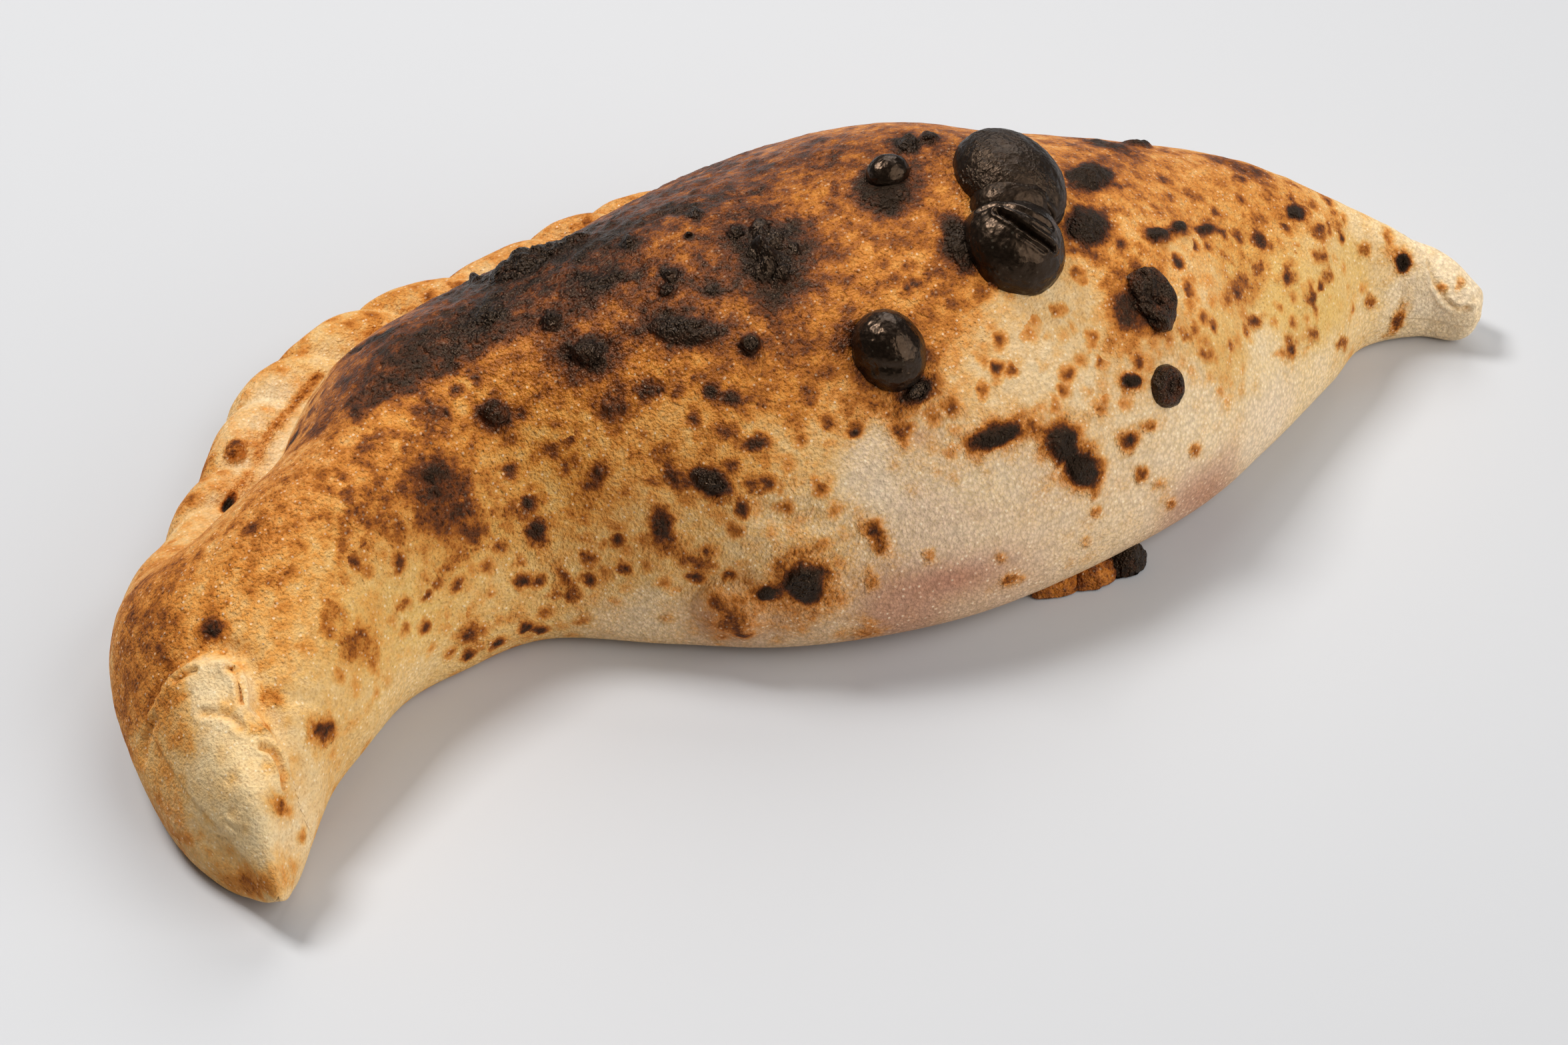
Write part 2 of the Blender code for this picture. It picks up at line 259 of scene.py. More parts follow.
def foldRelief(plan, edge, lift, spread):
    nearest = np.full(plan.shape[:-1], np.inf)
    side = np.ones(plan.shape[:-1])
    for (ax, ay), (bx, by) in zip(edge, edge[1:]):
        dx, dy = bx - ax, by - ay
        share = ((plan[..., 0] - ax) * dx + (plan[..., 1] - ay) * dy) / (dx * dx + dy * dy)
        share = np.clip(share, 0, 1)
        away = np.hypot(plan[..., 0] - ax - share * dx, plan[..., 1] - ay - share * dy)
        turned = dx * (plan[..., 1] - ay) - dy * (plan[..., 0] - ax)
        side = np.where(away < nearest, turned, side)
        nearest = np.minimum(nearest, away)
    lip = lift * np.exp(-nearest / spread)
    fall, depth, place, width = dough["foldFoot"]
    ditch = depth * np.exp(-(((nearest - place) / width) ** 2))
    foot = lift * (np.exp(-nearest / fall) - ditch)
    return np.where(side < 0, lip, foot)


noisePrimes = np.array((73856093, 19349663, 83492791))
noiseMixer = 1274126177


# Smooth noise from -1 to 1 whose lumps are about one size across.
def lumpyNoise(points, size, seed):
    cell = points / size + seed * 17.31
    corner = np.floor(cell).astype(np.int64)
    f = cell - corner
    f = f * f * (3 - 2 * f)
    total = np.zeros(points.shape[:-1])
    for i in range(8):
        step = np.array((i & 1, i >> 1 & 1, i >> 2 & 1))
        key = (corner + step) * noisePrimes
        key = key[..., 0] ^ key[..., 1] ^ key[..., 2]
        key = (key ^ (key >> 13)) * noiseMixer
        value = ((key ^ (key >> 16)) & 65535) / 32767.5 - 1
        total += value * np.prod(np.where(step, f, 1 - f), -1)
    return total


def layeredNoise(points, size, seed, layers=3):
    parts = [lumpyNoise(points, size / 2**k, seed + k) / 2**k for k in range(layers)]
    return sum(parts) / sum(1 / 2**k for k in range(layers))


def gridNormals(grid):
    normal = np.cross(np.gradient(grid, axis=0), np.gradient(grid, axis=1))
    return normal / np.maximum(np.linalg.norm(normal, axis=-1, keepdims=True), 1e-9)


def turnSteps():
    turn = np.linspace(*dough["feet"], dough["curveSamples"])
    middle = smoothDough(np.array([length / 2]), turn % 1)[0]
    arc = np.linalg.norm(np.diff(middle, axis=0), axis=1)
    arc *= np.interp((turn[1:] + turn[:-1]) / 2, *np.array(dough["fineness"]).T)
    total = np.concatenate([[0], np.cumsum(arc)])
    return np.interp(np.linspace(0, total[-1], dough["stepsRound"] + 1), total, turn)


def doughGrid():
    along = np.linspace(0, length, dough["stepsAlong"] + 1)
    turn = turnSteps()
    grid = smoothDough(along, turn % 1)
    s, t = np.meshgrid(along, turn % 1, indexing="ij")
    valley, rim = pinch(s, t)
    height = lumps(s, t) - dough["pinchDepth"] * valley * rim
    low, high = dough["foldTurns"]
    top = (t > low) & (t < high)
    flap = foldRelief(grid, dough["flapEdge"], dough["flapLift"], dough["flapSpread"])
    tip = foldRelief(grid, dough["tipFold"], dough["tipFoldLift"], dough["tipFoldSpread"])
    height += np.where(top & (s < dough["flapLength"]), flap, 0)
    height += np.where(top & (s > length - dough["tipFoldLength"]), tip, 0)
    fade = dough["reliefFade"]
    clear = ramp(*fade, grid[..., 2]) * ramp(*fade, s) * ramp(*fade, length - s)
    grid = grid + gridNormals(grid) * (height * clear)[..., None]
    grid[..., :2] -= dough["origin"]
    return grid, clear, (1 - dough["lobeContrast"] * valley) * rim


doughPoints, doughClear, doughLobes = doughGrid()
print("dough surface", doughPoints.shape)


# The rows of a grid without its two ends, then each end as one point.
def flatten(grid):
    return np.concatenate([grid[1:-1].reshape(-1, *grid.shape[2:]), grid[:1, 0], grid[-1:, 0]])


# Quads between the rows and a fan at each end, outward. A closed grid joins its last column to
# its first.
def gridFaces(rows, columns, closed=False):
    inner = np.arange(rows * columns).reshape(rows, columns)
    left, right = (inner, np.roll(inner, -1, axis=1)) if closed else (inner[:, :-1], inner[:, 1:])
    quads = np.stack([left[:-1], left[1:], right[1:], right[:-1]], -1).reshape(-1, 4)
    first, last = rows * columns, rows * columns + 1
    start = [(first, i, j) for i, j in zip(left[0].tolist(), right[0].tolist())]
    end = [(last, j, i) for i, j in zip(left[-1].tolist(), right[-1].tolist())]
    return [tuple(quad) for quad in quads.tolist()] + start + end


def coarseTree(grid):
    coarse = grid[::2, ::2]
    faces = gridFaces(coarse.shape[0] - 2, coarse.shape[1], closed=True)
    return BVHTree.FromPolygons(flatten(coarse).tolist(), faces)


doughTree = coarseTree(doughPoints)


# How a mark of the photograph is laid on the crust: the least slant towards the camera, the least
# reach into the depth in pixels, and that reach as a share of the mark's size.
markRules = {"slant": 0.3, "leastDepth": 12, "depth": 1.5}


# The ray from the camera through a pixel of the photograph.
def pixelRay(x, y):
    right, up, back = photoAxes()
    focal = photo["lens"] / photo["sensor"] * photo["width"]
    start = Vector(photo["target"]) + back * photo["distance"]
    across, rise = x - photo["width"] / 2, photo["height"] / 2 - y
    return start, (right * across + up * rise - back * focal).normalized()


# The place on the crust that shows at a pixel.
def crustAt(x, y):
    start, heading = pixelRay(x, y)
    point, normal, _, _ = doughTree.ray_cast(start, heading)
    return point, normal, heading


aboveAll = 200.0  # mm, a height above every part of the dough


def seatOn(x, y):
    start = Vector((x - dough["origin"][0], y - dough["origin"][1], aboveAll))
    point, normal, _, _ = doughTree.ray_cast(start, Vector((0, 0, -1)))
    return point, normal


# Shares of a mark's half width and half height, as seen in the photograph, for every point.
def markShares(points, x, y, halfWidth, halfHeight, tilt=0.0):
    point, normal, heading = crustAt(x, y)
    if point is None:
        print("no crust at pixel", x, y)
        return None
    right, up, _ = photoAxes()
    away = (point - pixelRay(x, y)[0]).length
    pixel = away * photo["sensor"] / photo["lens"] / photo["width"]
    turned = math.radians(tilt)
    wide = right * math.cos(turned) - up * math.sin(turned)
    tall = right * math.sin(turned) + up * math.cos(turned)
    facing = min(normal.dot(heading), -markRules["slant"])
    axes = []
    for direction, half in ((wide, halfWidth), (tall, halfHeight)):
        lying = direction - heading * (direction.dot(normal) / facing)
        axes.append(lying * half * pixel)
    reach = max(halfWidth, halfHeight, markRules["leastDepth"])
    depth = normal * reach * pixel * markRules["depth"]
    basis = np.array([axes[0], axes[1], depth]).T
    return (points - np.array(point)) @ np.linalg.inv(basis).T


longestStep = 12.0  # mm between two points of a line; a longer one jumps from the dome to the rim


# A line of the photograph laid on a surface, and how far each point is from it.
def lineOn(tree, pixels):
    found = [tree.ray_cast(*pixelRay(x, y))[0] for x, y in pixels]
    return np.array([point for point in found if point is not None])


def awayFromLine(points, line):
    nearest = np.full(len(points), np.inf)
    for start, end in zip(line, line[1:]):
        along = end - start
        if np.linalg.norm(along) > longestStep:
            continue
        share = np.clip((points - start) @ along / (along @ along), 0, 1)
        away = np.linalg.norm(points - start - share[:, None] * along, axis=1)
        nearest = np.minimum(nearest, away)
    return nearest


def markRadius(points, x, y, halfWidth, halfHeight, tilt=0.0):
    shares = markShares(points, x, y, halfWidth, halfHeight, tilt)
    return None if shares is None else np.sqrt((shares**2).sum(-1))


# How far the crust is baked at places that were judged: photograph pixel, then
# bake 0 raw to 1 charred, oil 0 dry to 1 wet, flour 0 none to 1 dusted, yellow and pink 0 to 1.
# Levels left out at the end of a row are 0.
bakeMap = {
    "places": [
        (760, 400, 0.86, 0.8), (900, 350, 0.86, 0.8), (1040, 300, 0.8, 0.8), (1180, 240, 0.7, 0.8),
        (700, 480, 0.85, 0.8), (600, 540, 0.8, 0.6), (820, 440, 0.76, 0.95), (1000, 400, 0.66, 0.9),
        (1120, 300, 0.66, 0.9), (1230, 300, 0.53, 0.8), (1230, 400, 0.5, 0.8),
        (1290, 440, 0.48, 0.7), (1400, 210, 0.62, 0.6), (960, 560, 0.5, 0.9), (1080, 560, 0.5, 0.8),
        (1190, 570, 0.48, 0.7), (800, 560, 0.5, 0.9), (700, 620, 0.34, 0.8), (600, 640, 0.34, 0.5),
        (840, 700, 0.41, 0.8, 0, 0.3), (980, 660, 0.45, 0.7, 0.1, 0.2),
        (1100, 690, 0.42, 0.6, 0.1, 0.2), (720, 790, 0.46, 0.6, 0.1, 0.8),
        (560, 700, 0.42, 0.4, 0.1), (470, 690, 0.52, 0.1, 0.3), (400, 800, 0.52, 0.1, 0.3),
        (540, 830, 0.44, 0.3, 0.2, 0.5), (620, 920, 0.3, 0.3, 0.3, 1),
        (800, 870, 0.34, 0.4, 0.3, 0.6), (920, 850, 0.34, 0.4, 0.3, 0.5),
        (1000, 800, 0.34, 0.4, 0.3, 0.4), (1200, 690, 0.34, 0.4, 0.3, 0.2),
        (1250, 640, 0.34, 0.4, 0.3, 0.1), (1180, 790, 0.22, 0.2, 0.6, 0.2),
        (1300, 700, 0.04, 0.1, 0.9, 0, 0.15), (1370, 650, 0.17, 0.2, 0.6, 0, 0.1),
        (1450, 560, 0.24, 0.4, 0.3), (1380, 430, 0.38, 0.5, 0.1), (1600, 480, 0.2, 0.4, 0.2),
        (1560, 560, 0.2, 0.3, 0.4), (1480, 720, 0.14, 0.1, 0.8, 0, 0.1),
        (1400, 780, 0.08, 0.1, 1, 0, 0.25), (1560, 750, 0.12, 0.1, 0.8, 0, 0.2),
        (1640, 640, 0.17, 0.2, 0.5, 0, 0.05), (1350, 930, 0.06, 0.1, 0.8, 0, 0.75),
        (1480, 880, 0.07, 0.1, 0.8, 0, 0.45), (1240, 930, 0.12, 0.1, 0.7, 0.1, 0.3),
        (1100, 960, 0.1, 0.1, 0.7, 0, 0.35), (960, 930, 0.12, 0.1, 0.7, 0.2, 0.1),
        (820, 960, 0.1, 0.1, 0.6, 0.3, 0.05), (700, 1010, 0.14, 0.2, 0.4, 0.7),
        (1680, 760, 0.12, 0.1, 0.7, 0, 0.15), (1800, 740, 0.06, 0.1, 0.8, 0, 0.6),
        (1800, 640, 0.14, 0.1, 0.7, 0, 0.05), (1900, 640, 0.06, 0.1, 0.8, 0, 0.1),
        (1980, 560, 0.08, 0.1, 0.7, 0.3), (1900, 540, 0.14, 0.2, 0.5, 0.2),
        (1830, 500, 0.32, 0.5, 0.2, 0.6), (1930, 450, 0.24, 0.5, 0.2, 0.9),
        (1990, 480, 0.16, 0.4, 0.2, 1), (1860, 400, 0.46, 0.6, 0.1, 0.6),
        (1880, 310, 0.44, 0.6, 0.1, 0.1), (1760, 290, 0.47, 0.6, 0.1), (1660, 240, 0.52, 0.6, 0.1),
        (1760, 240, 0.46, 0.5, 0.2), (1700, 420, 0.33, 0.5, 0.1), (1800, 440, 0.27, 0.5, 0.2),
        (2030, 400, 0.22, 0.3, 0.3, 0.9), (2050, 470, 0.16, 0.2, 0.5, 0.5),
        (1980, 310, 0.34, 0.4, 0.2, 0.2), (2060, 350, 0.16, 0.2, 0.4, 0.2),
        (2130, 440, 0.05, 0.2, 0.7, 0.1), (2180, 420, 0.04, 0.1, 0.7), (2180, 490, 0.08, 0.1, 0.6),
        (330, 870, 0.44, 0.1, 0.1), (460, 860, 0.4, 0.2, 0.1, 0.2), (540, 950, 0.36, 0.2, 0.1, 0.6),
        # the places on the nose's left flank (x 200 to 240) are baked deeper: partly a browner crust,
        # partly painted shade of that side
        (230, 900, 0.57, 0.1, 0.1), (200, 1000, 0.54, 0.1, 0.1), (240, 1050, 0.46, 0.1, 0.1),
        (440, 980, 0.34, 0.1, 0.15, 0.2), (500, 1060, 0.27, 0.1, 0.2, 0.4),
        (600, 1040, 0.16, 0.1, 0.4, 0.6), (440, 1130, 0.18, 0.1, 0.15, 0.2),
        (320, 1020, 0.12, 0, 0.15), (285, 1090, 0.16, 0, 0.1), (340, 1150, 0.17, 0, 0.05, 0.1),
        (300, 1200, 0.18, 0, 0.1, 0.1), (230, 1150, 0.34, 0, 0.1), (390, 1230, 0.14, 0, 0.1, 0.1),
        (370, 1310, 0.26, 0, 0.1), (440, 1250, 0.14, 0, 0.2), (330, 640, 0.46, 0.1, 0.1),
        (300, 720, 0.47, 0.1, 0.1), (440, 540, 0.42, 0.1, 0.1), (560, 480, 0.38, 0.1, 0.1),
        (366, 697, 0.22, 0.1, 0.4), (386, 680, 0.22, 0.1, 0.4), (418, 622, 0.2, 0.1, 0.4),
        (432, 607, 0.22, 0.1, 0.4), (478, 556, 0.24, 0.1, 0.3, 0.3),
        (530, 512, 0.24, 0.1, 0.3, 0.3), (345, 790, 0.42, 0.1, 0.2),
    ],
    # plan x, y in mm of places that the photograph doesn't show, judged from what it does
    "hiddenPlaces": [
        (120, 120, 30, 0.3, 0.1, 0.4), (160, 128, 16, 0.4, 0.1, 0.3),
        (200, 116, 16, 0.38, 0.1, 0.3), (240, 96, 14, 0.36, 0.1, 0.4),
        (275, 66, 12, 0.24, 0.1, 0.5), (296, 25, 10, 0.14, 0.1, 0.6), (150, 100, 45, 0.7, 0.6),
        (190, 92, 45, 0.58, 0.5, 0.1), (220, 76, 40, 0.5, 0.5, 0.1, 0.2),
        (250, 60, 34, 0.34, 0.3, 0.3, 0.5), (270, 40, 26, 0.22, 0.2, 0.4, 0.3),
        (110, 104, 36, 0.78, 0.6), (80, 100, 34, 0.6, 0.3, 0.1), (-6, 20, 12, 0.4, 0, 0.4),
        (0, 60, 12, 0.36, 0.1, 0.4),
    ],
}

# Brown spots and burns: pixel, half width and half height in pixels, tilt in degrees, bake.
pixelSize = 0.147  # mm on the crust for a pixel of the photo
spots = [
    (1636, 264, 32, 19, -5, 0.97), (1632, 341, 34, 30, 20, 0.95), (1662, 217, 42, 11, 15, 0.92),
    (1495, 653, 42, 18, -18, 0.97), (1592, 664, 26, 30, 20, 0.97), (1622, 706, 26, 30, -30, 0.98),
    (1329, 285, 42, 36, 0, 0.93), (1360, 215, 24, 14, 0, 0.95), (1155, 378, 26, 50, -10, 0.95),
    (1158, 385, 74, 62, 0, 0.92), (1338, 545, 62, 64, 0, 0.8), (1432, 372, 28, 44, -10, 0.84),
    (812, 388, 50, 20, -20, 0.99), (732, 470, 26, 16, -30, 0.98), (896, 420, 40, 17, -10, 0.95),
    (1007, 413, 17, 15, 0, 0.97), (943, 363, 18, 12, 0, 0.95), (1043, 322, 14, 10, 0, 0.96),
    (1103, 350, 14, 12, 0, 0.94), (1027, 495, 62, 22, 5, 0.93), (1070, 433, 16, 14, 0, 0.93),
    (882, 535, 44, 34, 0, 0.92), (827, 483, 26, 22, 0, 0.93), (742, 625, 30, 30, 0, 0.88),
    (652, 724, 36, 46, -10, 0.87), (670, 760, 30, 34, 30, 0.8), (700, 790, 20, 22, 0, 0.72),
    (640, 617, 26, 24, 0, 0.78), (560, 600, 40, 16, -35, 0.86), (620, 520, 50, 14, -35, 0.88),
    (663, 550, 30, 14, -30, 0.86), (547, 613, 20, 16, 0, 0.82), (1067, 724, 30, 17, 28, 0.99),
    (1207, 875, 31, 33, 0, 0.99), (1150, 890, 18, 13, 0, 0.94), (1205, 880, 48, 46, 0, 0.58),
    (320, 942, 20, 20, 0, 0.9), (437, 663, 20, 14, -40, 0.78), (480, 640, 26, 10, -40, 0.74),
    (543, 680, 20, 18, 0, 0.68), (573, 715, 16, 14, 0, 0.62), (550, 770, 22, 18, 0, 0.6),
    (341, 760, 8, 13, 30, 0.84), (915, 612, 20, 18, 0, 0.9), (972, 587, 16, 13, 0, 0.86),
    (1065, 585, 13, 11, 0, 0.88), (1097, 597, 15, 13, 0, 0.86), (1007, 710, 14, 24, -20, 0.8),
    (992, 788, 17, 26, -8, 0.9), (805, 795, 19, 19, 0, 0.88), (1132, 667, 16, 15, 0, 0.84),
    (895, 710, 16, 15, 0, 0.76), (827, 677, 20, 16, 0, 0.7), (1090, 645, 16, 13, 0, 0.74),
    (1128, 728, 14, 14, 0, 0.72), (850, 873, 11, 30, -32, 0.66), (705, 952, 21, 21, 0, 0.7),
    (780, 927, 14, 16, 0, 0.48), (880, 925, 10, 9, 0, 0.46), (947, 865, 9, 9, 0, 0.46),
    (1000, 930, 11, 9, 0, 0.46), (1040, 840, 20, 16, 0, 0.62), (1315, 805, 13, 32, -32, 0.76),
    (1307, 870, 11, 15, 0, 0.58), (1300, 950, 26, 10, -8, 0.54), (1395, 835, 10, 9, 0, 0.5),
    (1502, 837, 8, 8, 0, 0.5), (1515, 870, 18, 10, -10, 0.62), (1694, 660, 17, 15, 0, 0.8),
    (1712, 713, 12, 12, 0, 0.66), (1792, 676, 9, 9, 0, 0.56), (1755, 756, 8, 8, 0, 0.52),
    (1629, 814, 9, 9, 0, 0.54), (1643, 769, 10, 9, 0, 0.52), (1723, 641, 10, 9, 0, 0.6),
    (1650, 616, 12, 11, 0, 0.6), (1742, 726, 9, 9, 0, 0.5), (1936, 526, 9, 18, -5, 0.76),
    (1969, 502, 9, 12, 0, 0.66), (1883, 483, 13, 11, 20, 0.74), (1854, 435, 16, 18, 10, 0.72),
    (1931, 416, 11, 13, -15, 0.74), (1966, 450, 9, 10, 0, 0.72), (1984, 387, 8, 10, 0, 0.66),
    (1988, 416, 9, 10, 0, 0.66), (2056, 452, 8, 11, 0, 0.62), (2047, 376, 9, 13, -25, 0.64),
    (2005, 335, 9, 12, -30, 0.6), (1977, 346, 9, 12, -30, 0.72), (1944, 320, 17, 12, 30, 0.97),
    (1888, 358, 10, 13, -15, 0.88), (2015, 516, 8, 11, 0, 0.66), (2106, 394, 12, 17, -10, 0.92),
    (2096, 381, 18, 16, 0, 0.46), (2097, 482, 8, 22, 25, 0.72), (2165, 432, 7, 7, 0, 0.44),
    (2192, 422, 8, 9, 0, 0.42), (375, 795, 12, 12, 0, 0.72), (407, 1042, 14, 13, 0, 0.6),
    (397, 1090, 14, 10, 0, 0.54), (485, 1098, 17, 19, 0, 0.8), (420, 1210, 11, 15, -20, 0.58),
    (452, 1255, 8, 10, 0, 0.48), (535, 970, 22, 22, 0, 0.66), (500, 920, 16, 14, 0, 0.6),
    (595, 800, 22, 18, 0, 0.64), (552, 772, 20, 16, 0, 0.62), (240, 975, 26, 34, 25, 0.62),
    (212, 925, 16, 20, 0, 0.58), (215, 1060, 14, 22, 0, 0.56), (270, 1105, 18, 34, 10, 0.4),
    (375, 1325, 34, 16, 10, 0.58), (1100, 925, 30, 26, 0, 0.66), (1700, 214, 60, 13, 12, 0.84),
    (1860, 250, 55, 10, 18, 0.74), (1700, 455, 34, 52, 10, 0.86),
]

# Creases and rolled edges: line of pixels, half width, depth and lip in mm, and added bake, which
# darkens the groove: partly browning of the edge, partly painted shade in the crease.
creases = [
    ([(262, 1020), (277, 1011), (291, 1005)], 0.6, 1, 0.3, 0.18),
    ([(342, 1000), (354, 1005), (358, 1016), (361, 1034), (363, 1052)], 0.6, 1.1, 0.4, 0.16),
    ([(345, 978), (353, 990), (354, 1002)], 1.4, 0.7, 0.1, 0.06),
    ([(303, 1070), (330, 1070), (349, 1077), (361, 1091)], 0.7, 0.6, 0.3, 0.06),
    ([(392, 1121), (408, 1127), (418, 1141), (424, 1163), (425, 1180)], 0.6, 1, 0.4, 0.12),
    ([(276, 1045), (283, 1041)], 0.7, 0.4, 0.1, 0.05),
    ([(232, 1080), (217, 1112), (216, 1136)], 1.1, 0.9, 0.2, 0.05),
    ([(343, 1172), (350, 1166)], 0.9, 0.4, 0.1, 0.03),
    ([(372, 1197), (354, 1206), (346, 1220)], 0.6, 0.25, 0.15, 0.02),
    ([(368, 1210), (356, 1216), (350, 1228)], 0.5, 0.2, 0.15, 0.01),
    ([(344, 1238), (352, 1244), (366, 1246)], 0.6, 0.3, 0.15, 0.01),
    ([(326, 1255), (342, 1258), (362, 1256)], 0.5, 0.2, 0.1, 0.01),
    ([(418, 1036), (440, 1050), (470, 1052)], 1.4, 0.5, 0.1, 0),
    # these three run along the dome's edge in front of the rim: a dark line that is partly char, partly
    # painted shade where the dome meets the rim
    ([(511, 541), (478, 563), (446, 600), (424, 624), (400, 655)], 0.9, 0.3, 0, 0.36),
    ([(396, 668), (384, 690), (372, 712), (352, 742), (336, 764)], 0.8, 0.3, 0, 0.2),
    ([(630, 462), (583, 497), (540, 520), (511, 541)], 1.4, 0.3, 0, 0.28),
    ([(2142, 395), (2150, 420), (2166, 449), (2182, 463), (2202, 464)], 0.6, 0.6, 0.25, 0.1),
    ([(2198, 462), (2212, 446), (2222, 436)], 0.6, 0.4, 0.15, 0.06),
    ([(2086, 355), (2098, 385), (2104, 420), (2100, 462)], 1.6, 0.4, 0.1, 0.03),
    ([(1907, 535), (1922, 527)], 0.5, 0.3, 0.2, 0.08),
    ([(1925, 560), (1932, 572)], 0.5, 0.3, 0.2, 0.05),
    ([(1145, 770), (1180, 782), (1215, 776)], 2.4, 0.8, 0.2, 0),
    ([(1020, 880), (1060, 870), (1110, 868)], 2.2, 0.7, 0.2, 0.03),
    ([(1300, 270), (1315, 262)], 0.5, 0.3, 0.1, 0),
]

# Sauce that shows through the dough: pixel, half width, half height, tilt, pink.
stains = [
    (1092, 918, 50, 36, 20, 1), (1420, 872, 95, 30, -12, 0.9), (1340, 915, 50, 22, -8, 0.8),
    (1805, 745, 52, 22, -32, 0.8), (1375, 655, 30, 16, 0, 0.5), (1180, 930, 40, 24, 0, 0.6),
    (1470, 770, 40, 14, 0, 0.3),
]

# Small swellings of the crust: pixel, half width and half height in pixels, tilt in degrees,
# height in mm, lumpiness, bake and oil.
swellings = [
    (1361, 217, 16, 11, 0, 1.6, 0.5, 0.98, 0.7), (1394, 208, 16, 7, 0, 1.4, 0.4, 0.98, 0.7),
    (1126, 517, 17, 16, 0, 2.4, 0.1, 1.06, 0.95), (882, 530, 24, 20, 0, 2.4, 0.4, 1, 0.95),
    (827, 483, 14, 12, 0, 1.8, 0.4, 1, 0.95), (742, 620, 21, 19, 0, 1.9, 0.3, 0.93, 0.9),
    (1007, 413, 12, 9, 0, 1.2, 0.3, 1, 0.9), (943, 363, 11, 8, 0, 1.2, 0.3, 0.98, 0.9),
    (1043, 322, 8, 7, 0, 1.2, 0.2, 1, 0.95), (1033, 355, 7, 5, 0, 0.9, 0.2, 1, 0.95),
    (1103, 350, 10, 8, 0, 1.2, 0.2, 1, 0.95), (712, 420, 10, 8, 0, 1.4, 0.5, 1, 0.9),
    (732, 470, 24, 14, -30, 1.4, 1, 1, 0.95), (1148, 384, 12, 40, -14, 1.2, 1, 1, 0.95),
    (1027, 493, 56, 20, 5, 0.7, 1, 0.97, 0.9), (1002, 435, 17, 12, 0, 0.8, 0.8, 0.98, 0.9),
    (1140, 344, 14, 13, 0, 1.8, 0.3, 1.04, 1), (1162, 360, 12, 12, 0, 1.5, 0.3, 1.04, 1),
    (1136, 374, 15, 13, 0, 1.9, 0.3, 1.06, 1), (1158, 388, 13, 12, 0, 1.7, 0.3, 1.06, 1),
    (1144, 408, 15, 13, 0, 1.9, 0.3, 1.06, 1), (1172, 412, 11, 10, 0, 1.3, 0.3, 1.04, 1),
    (1188, 374, 9, 9, 0, 1, 0.3, 1.04, 1), (1329, 288, 38, 26, 0, 0.8, 0.5, 0.97, 0.3),
    (1636, 264, 32, 18, -5, 1.3, 0.9, 0.98, 0.45), (1632, 341, 32, 28, 20, 1.3, 0.9, 0.98, 0.55),
    (1734, 352, 20, 12, 10, 1.5, 0.5, 0.99, 0.5), (1766, 343, 14, 11, 0, 1.4, 0.4, 0.99, 0.5),
    (1808, 343, 16, 8, 0, 0.6, 0.4, 0.86, 0.4), (1697, 572, 16, 15, 0, 0.7, 0.8, 0.97, 0.3),
    (1625, 200, 14, 6, 0, 1.2, 0.4, 0.95, 0.5), (1707, 217, 22, 8, 10, 1, 0.6, 0.95, 0.5),
    (1067, 724, 29, 15, 28, 1.5, 0.2, 1, 1), (1207, 875, 26, 27, 0, 0.9, 0.7, 1, 1),
    (1150, 890, 14, 9, 0, 0.5, 0.5, 0.95, 0.7), (1095, 922, 60, 44, 20, 2.2, 0.25, 0, 0.3),
    (1592, 664, 22, 24, 20, 0.9, 0.6, 0.98, 0.4), (1622, 706, 22, 22, -30, 1, 0.5, 0.98, 0.4),
    (1495, 655, 38, 14, -18, 0.7, 0.8, 0.96, 0.35), (353, 676, 17, 15, -40, 1.5, 0.3, 0.66, 0.2),
    (445, 512, 34, 7, -46, 0.5, 1, 0.9, 0.2), (1944, 320, 13, 9, 30, 0.5, 0.3, 0.98, 0.4),
    (1885, 247, 14, 5, 15, 0.6, 0.5, 0.93, 0.5), (2106, 394, 9, 12, -10, -0.8, 0.2, 0.94, 0.3),
    (1493, 423, 11, 10, 0, 1.6, 0.1, 1.08, 0.6), (1438, 365, 16, 40, -12, 1, 1, 1, 0.6),
    (1376, 588, 24, 16, -35, 1.1, 0.4, 1.06, 1), (1266, 508, 18, 26, 20, 0.3, 0.2, 0.8, 1),
]


# How the browning spreads from the judged places: mm, or a share of a level.
browning = {
    "reach": 3.0,  # mm round a place where it counts fully
    "drift": 5.0,
    "driftSize": 14.0,
    "toasted": (0.45, 0.7),
    "blotch": 0.07,
    "toastBlotch": 0.09,
    "blotchSize": 8.0,
    "fleck": 0.05,
    "fleckSize": 3.0,
}

# A spot has a ragged core and a haze round it, wider on a large one. Lengths are shares of its size.
spotShape = {
    "reach": 3.2,
    "raggedness": 0.55,
    "leastRag": 1.0,  # mm
    "ragSize": 0.45,
    "hazySizes": (2.0, 7.0),  # mm
    "leastHaze": 0.06,
    "haze": 0.32,
    "core": 0.95,
    "coreEdge": 2.6,
    "halo": 0.58,
}
creaseShape = {"lipAt": 2.2, "brownAndShadeTo": 1.3}  # shares of a crease's half width


levelNames = ("bake", "oil", "flour", "yellow", "pink")


def placesOnCrust():
    found = []
    for x, y, *levels in bakeMap["places"]:
        point, _, _ = crustAt(x, y)
        if point is not None:
            found.append((*point, *levels))
    for x, y, z, *levels in bakeMap["hiddenPlaces"]:
        found.append((x - dough["origin"][0], y - dough["origin"][1], z, *levels))
    return np.array([row + (0,) * (3 + len(levelNames) - len(row)) for row in found])


# Each level at a point is the mean of the judged places, with the near ones counting most.
def judgedLevels(points):
    places = placesOnCrust()
    total = np.zeros((len(points), places.shape[1] - 3))
    weights = np.zeros(len(points))
    for place in places:
        away = ((points - place[:3]) ** 2).sum(-1)
        weight = 1 / (away + browning["reach"] ** 2) ** 2
        total += weight[:, None] * place[3:]
        weights += weight
    return total / weights[:, None]


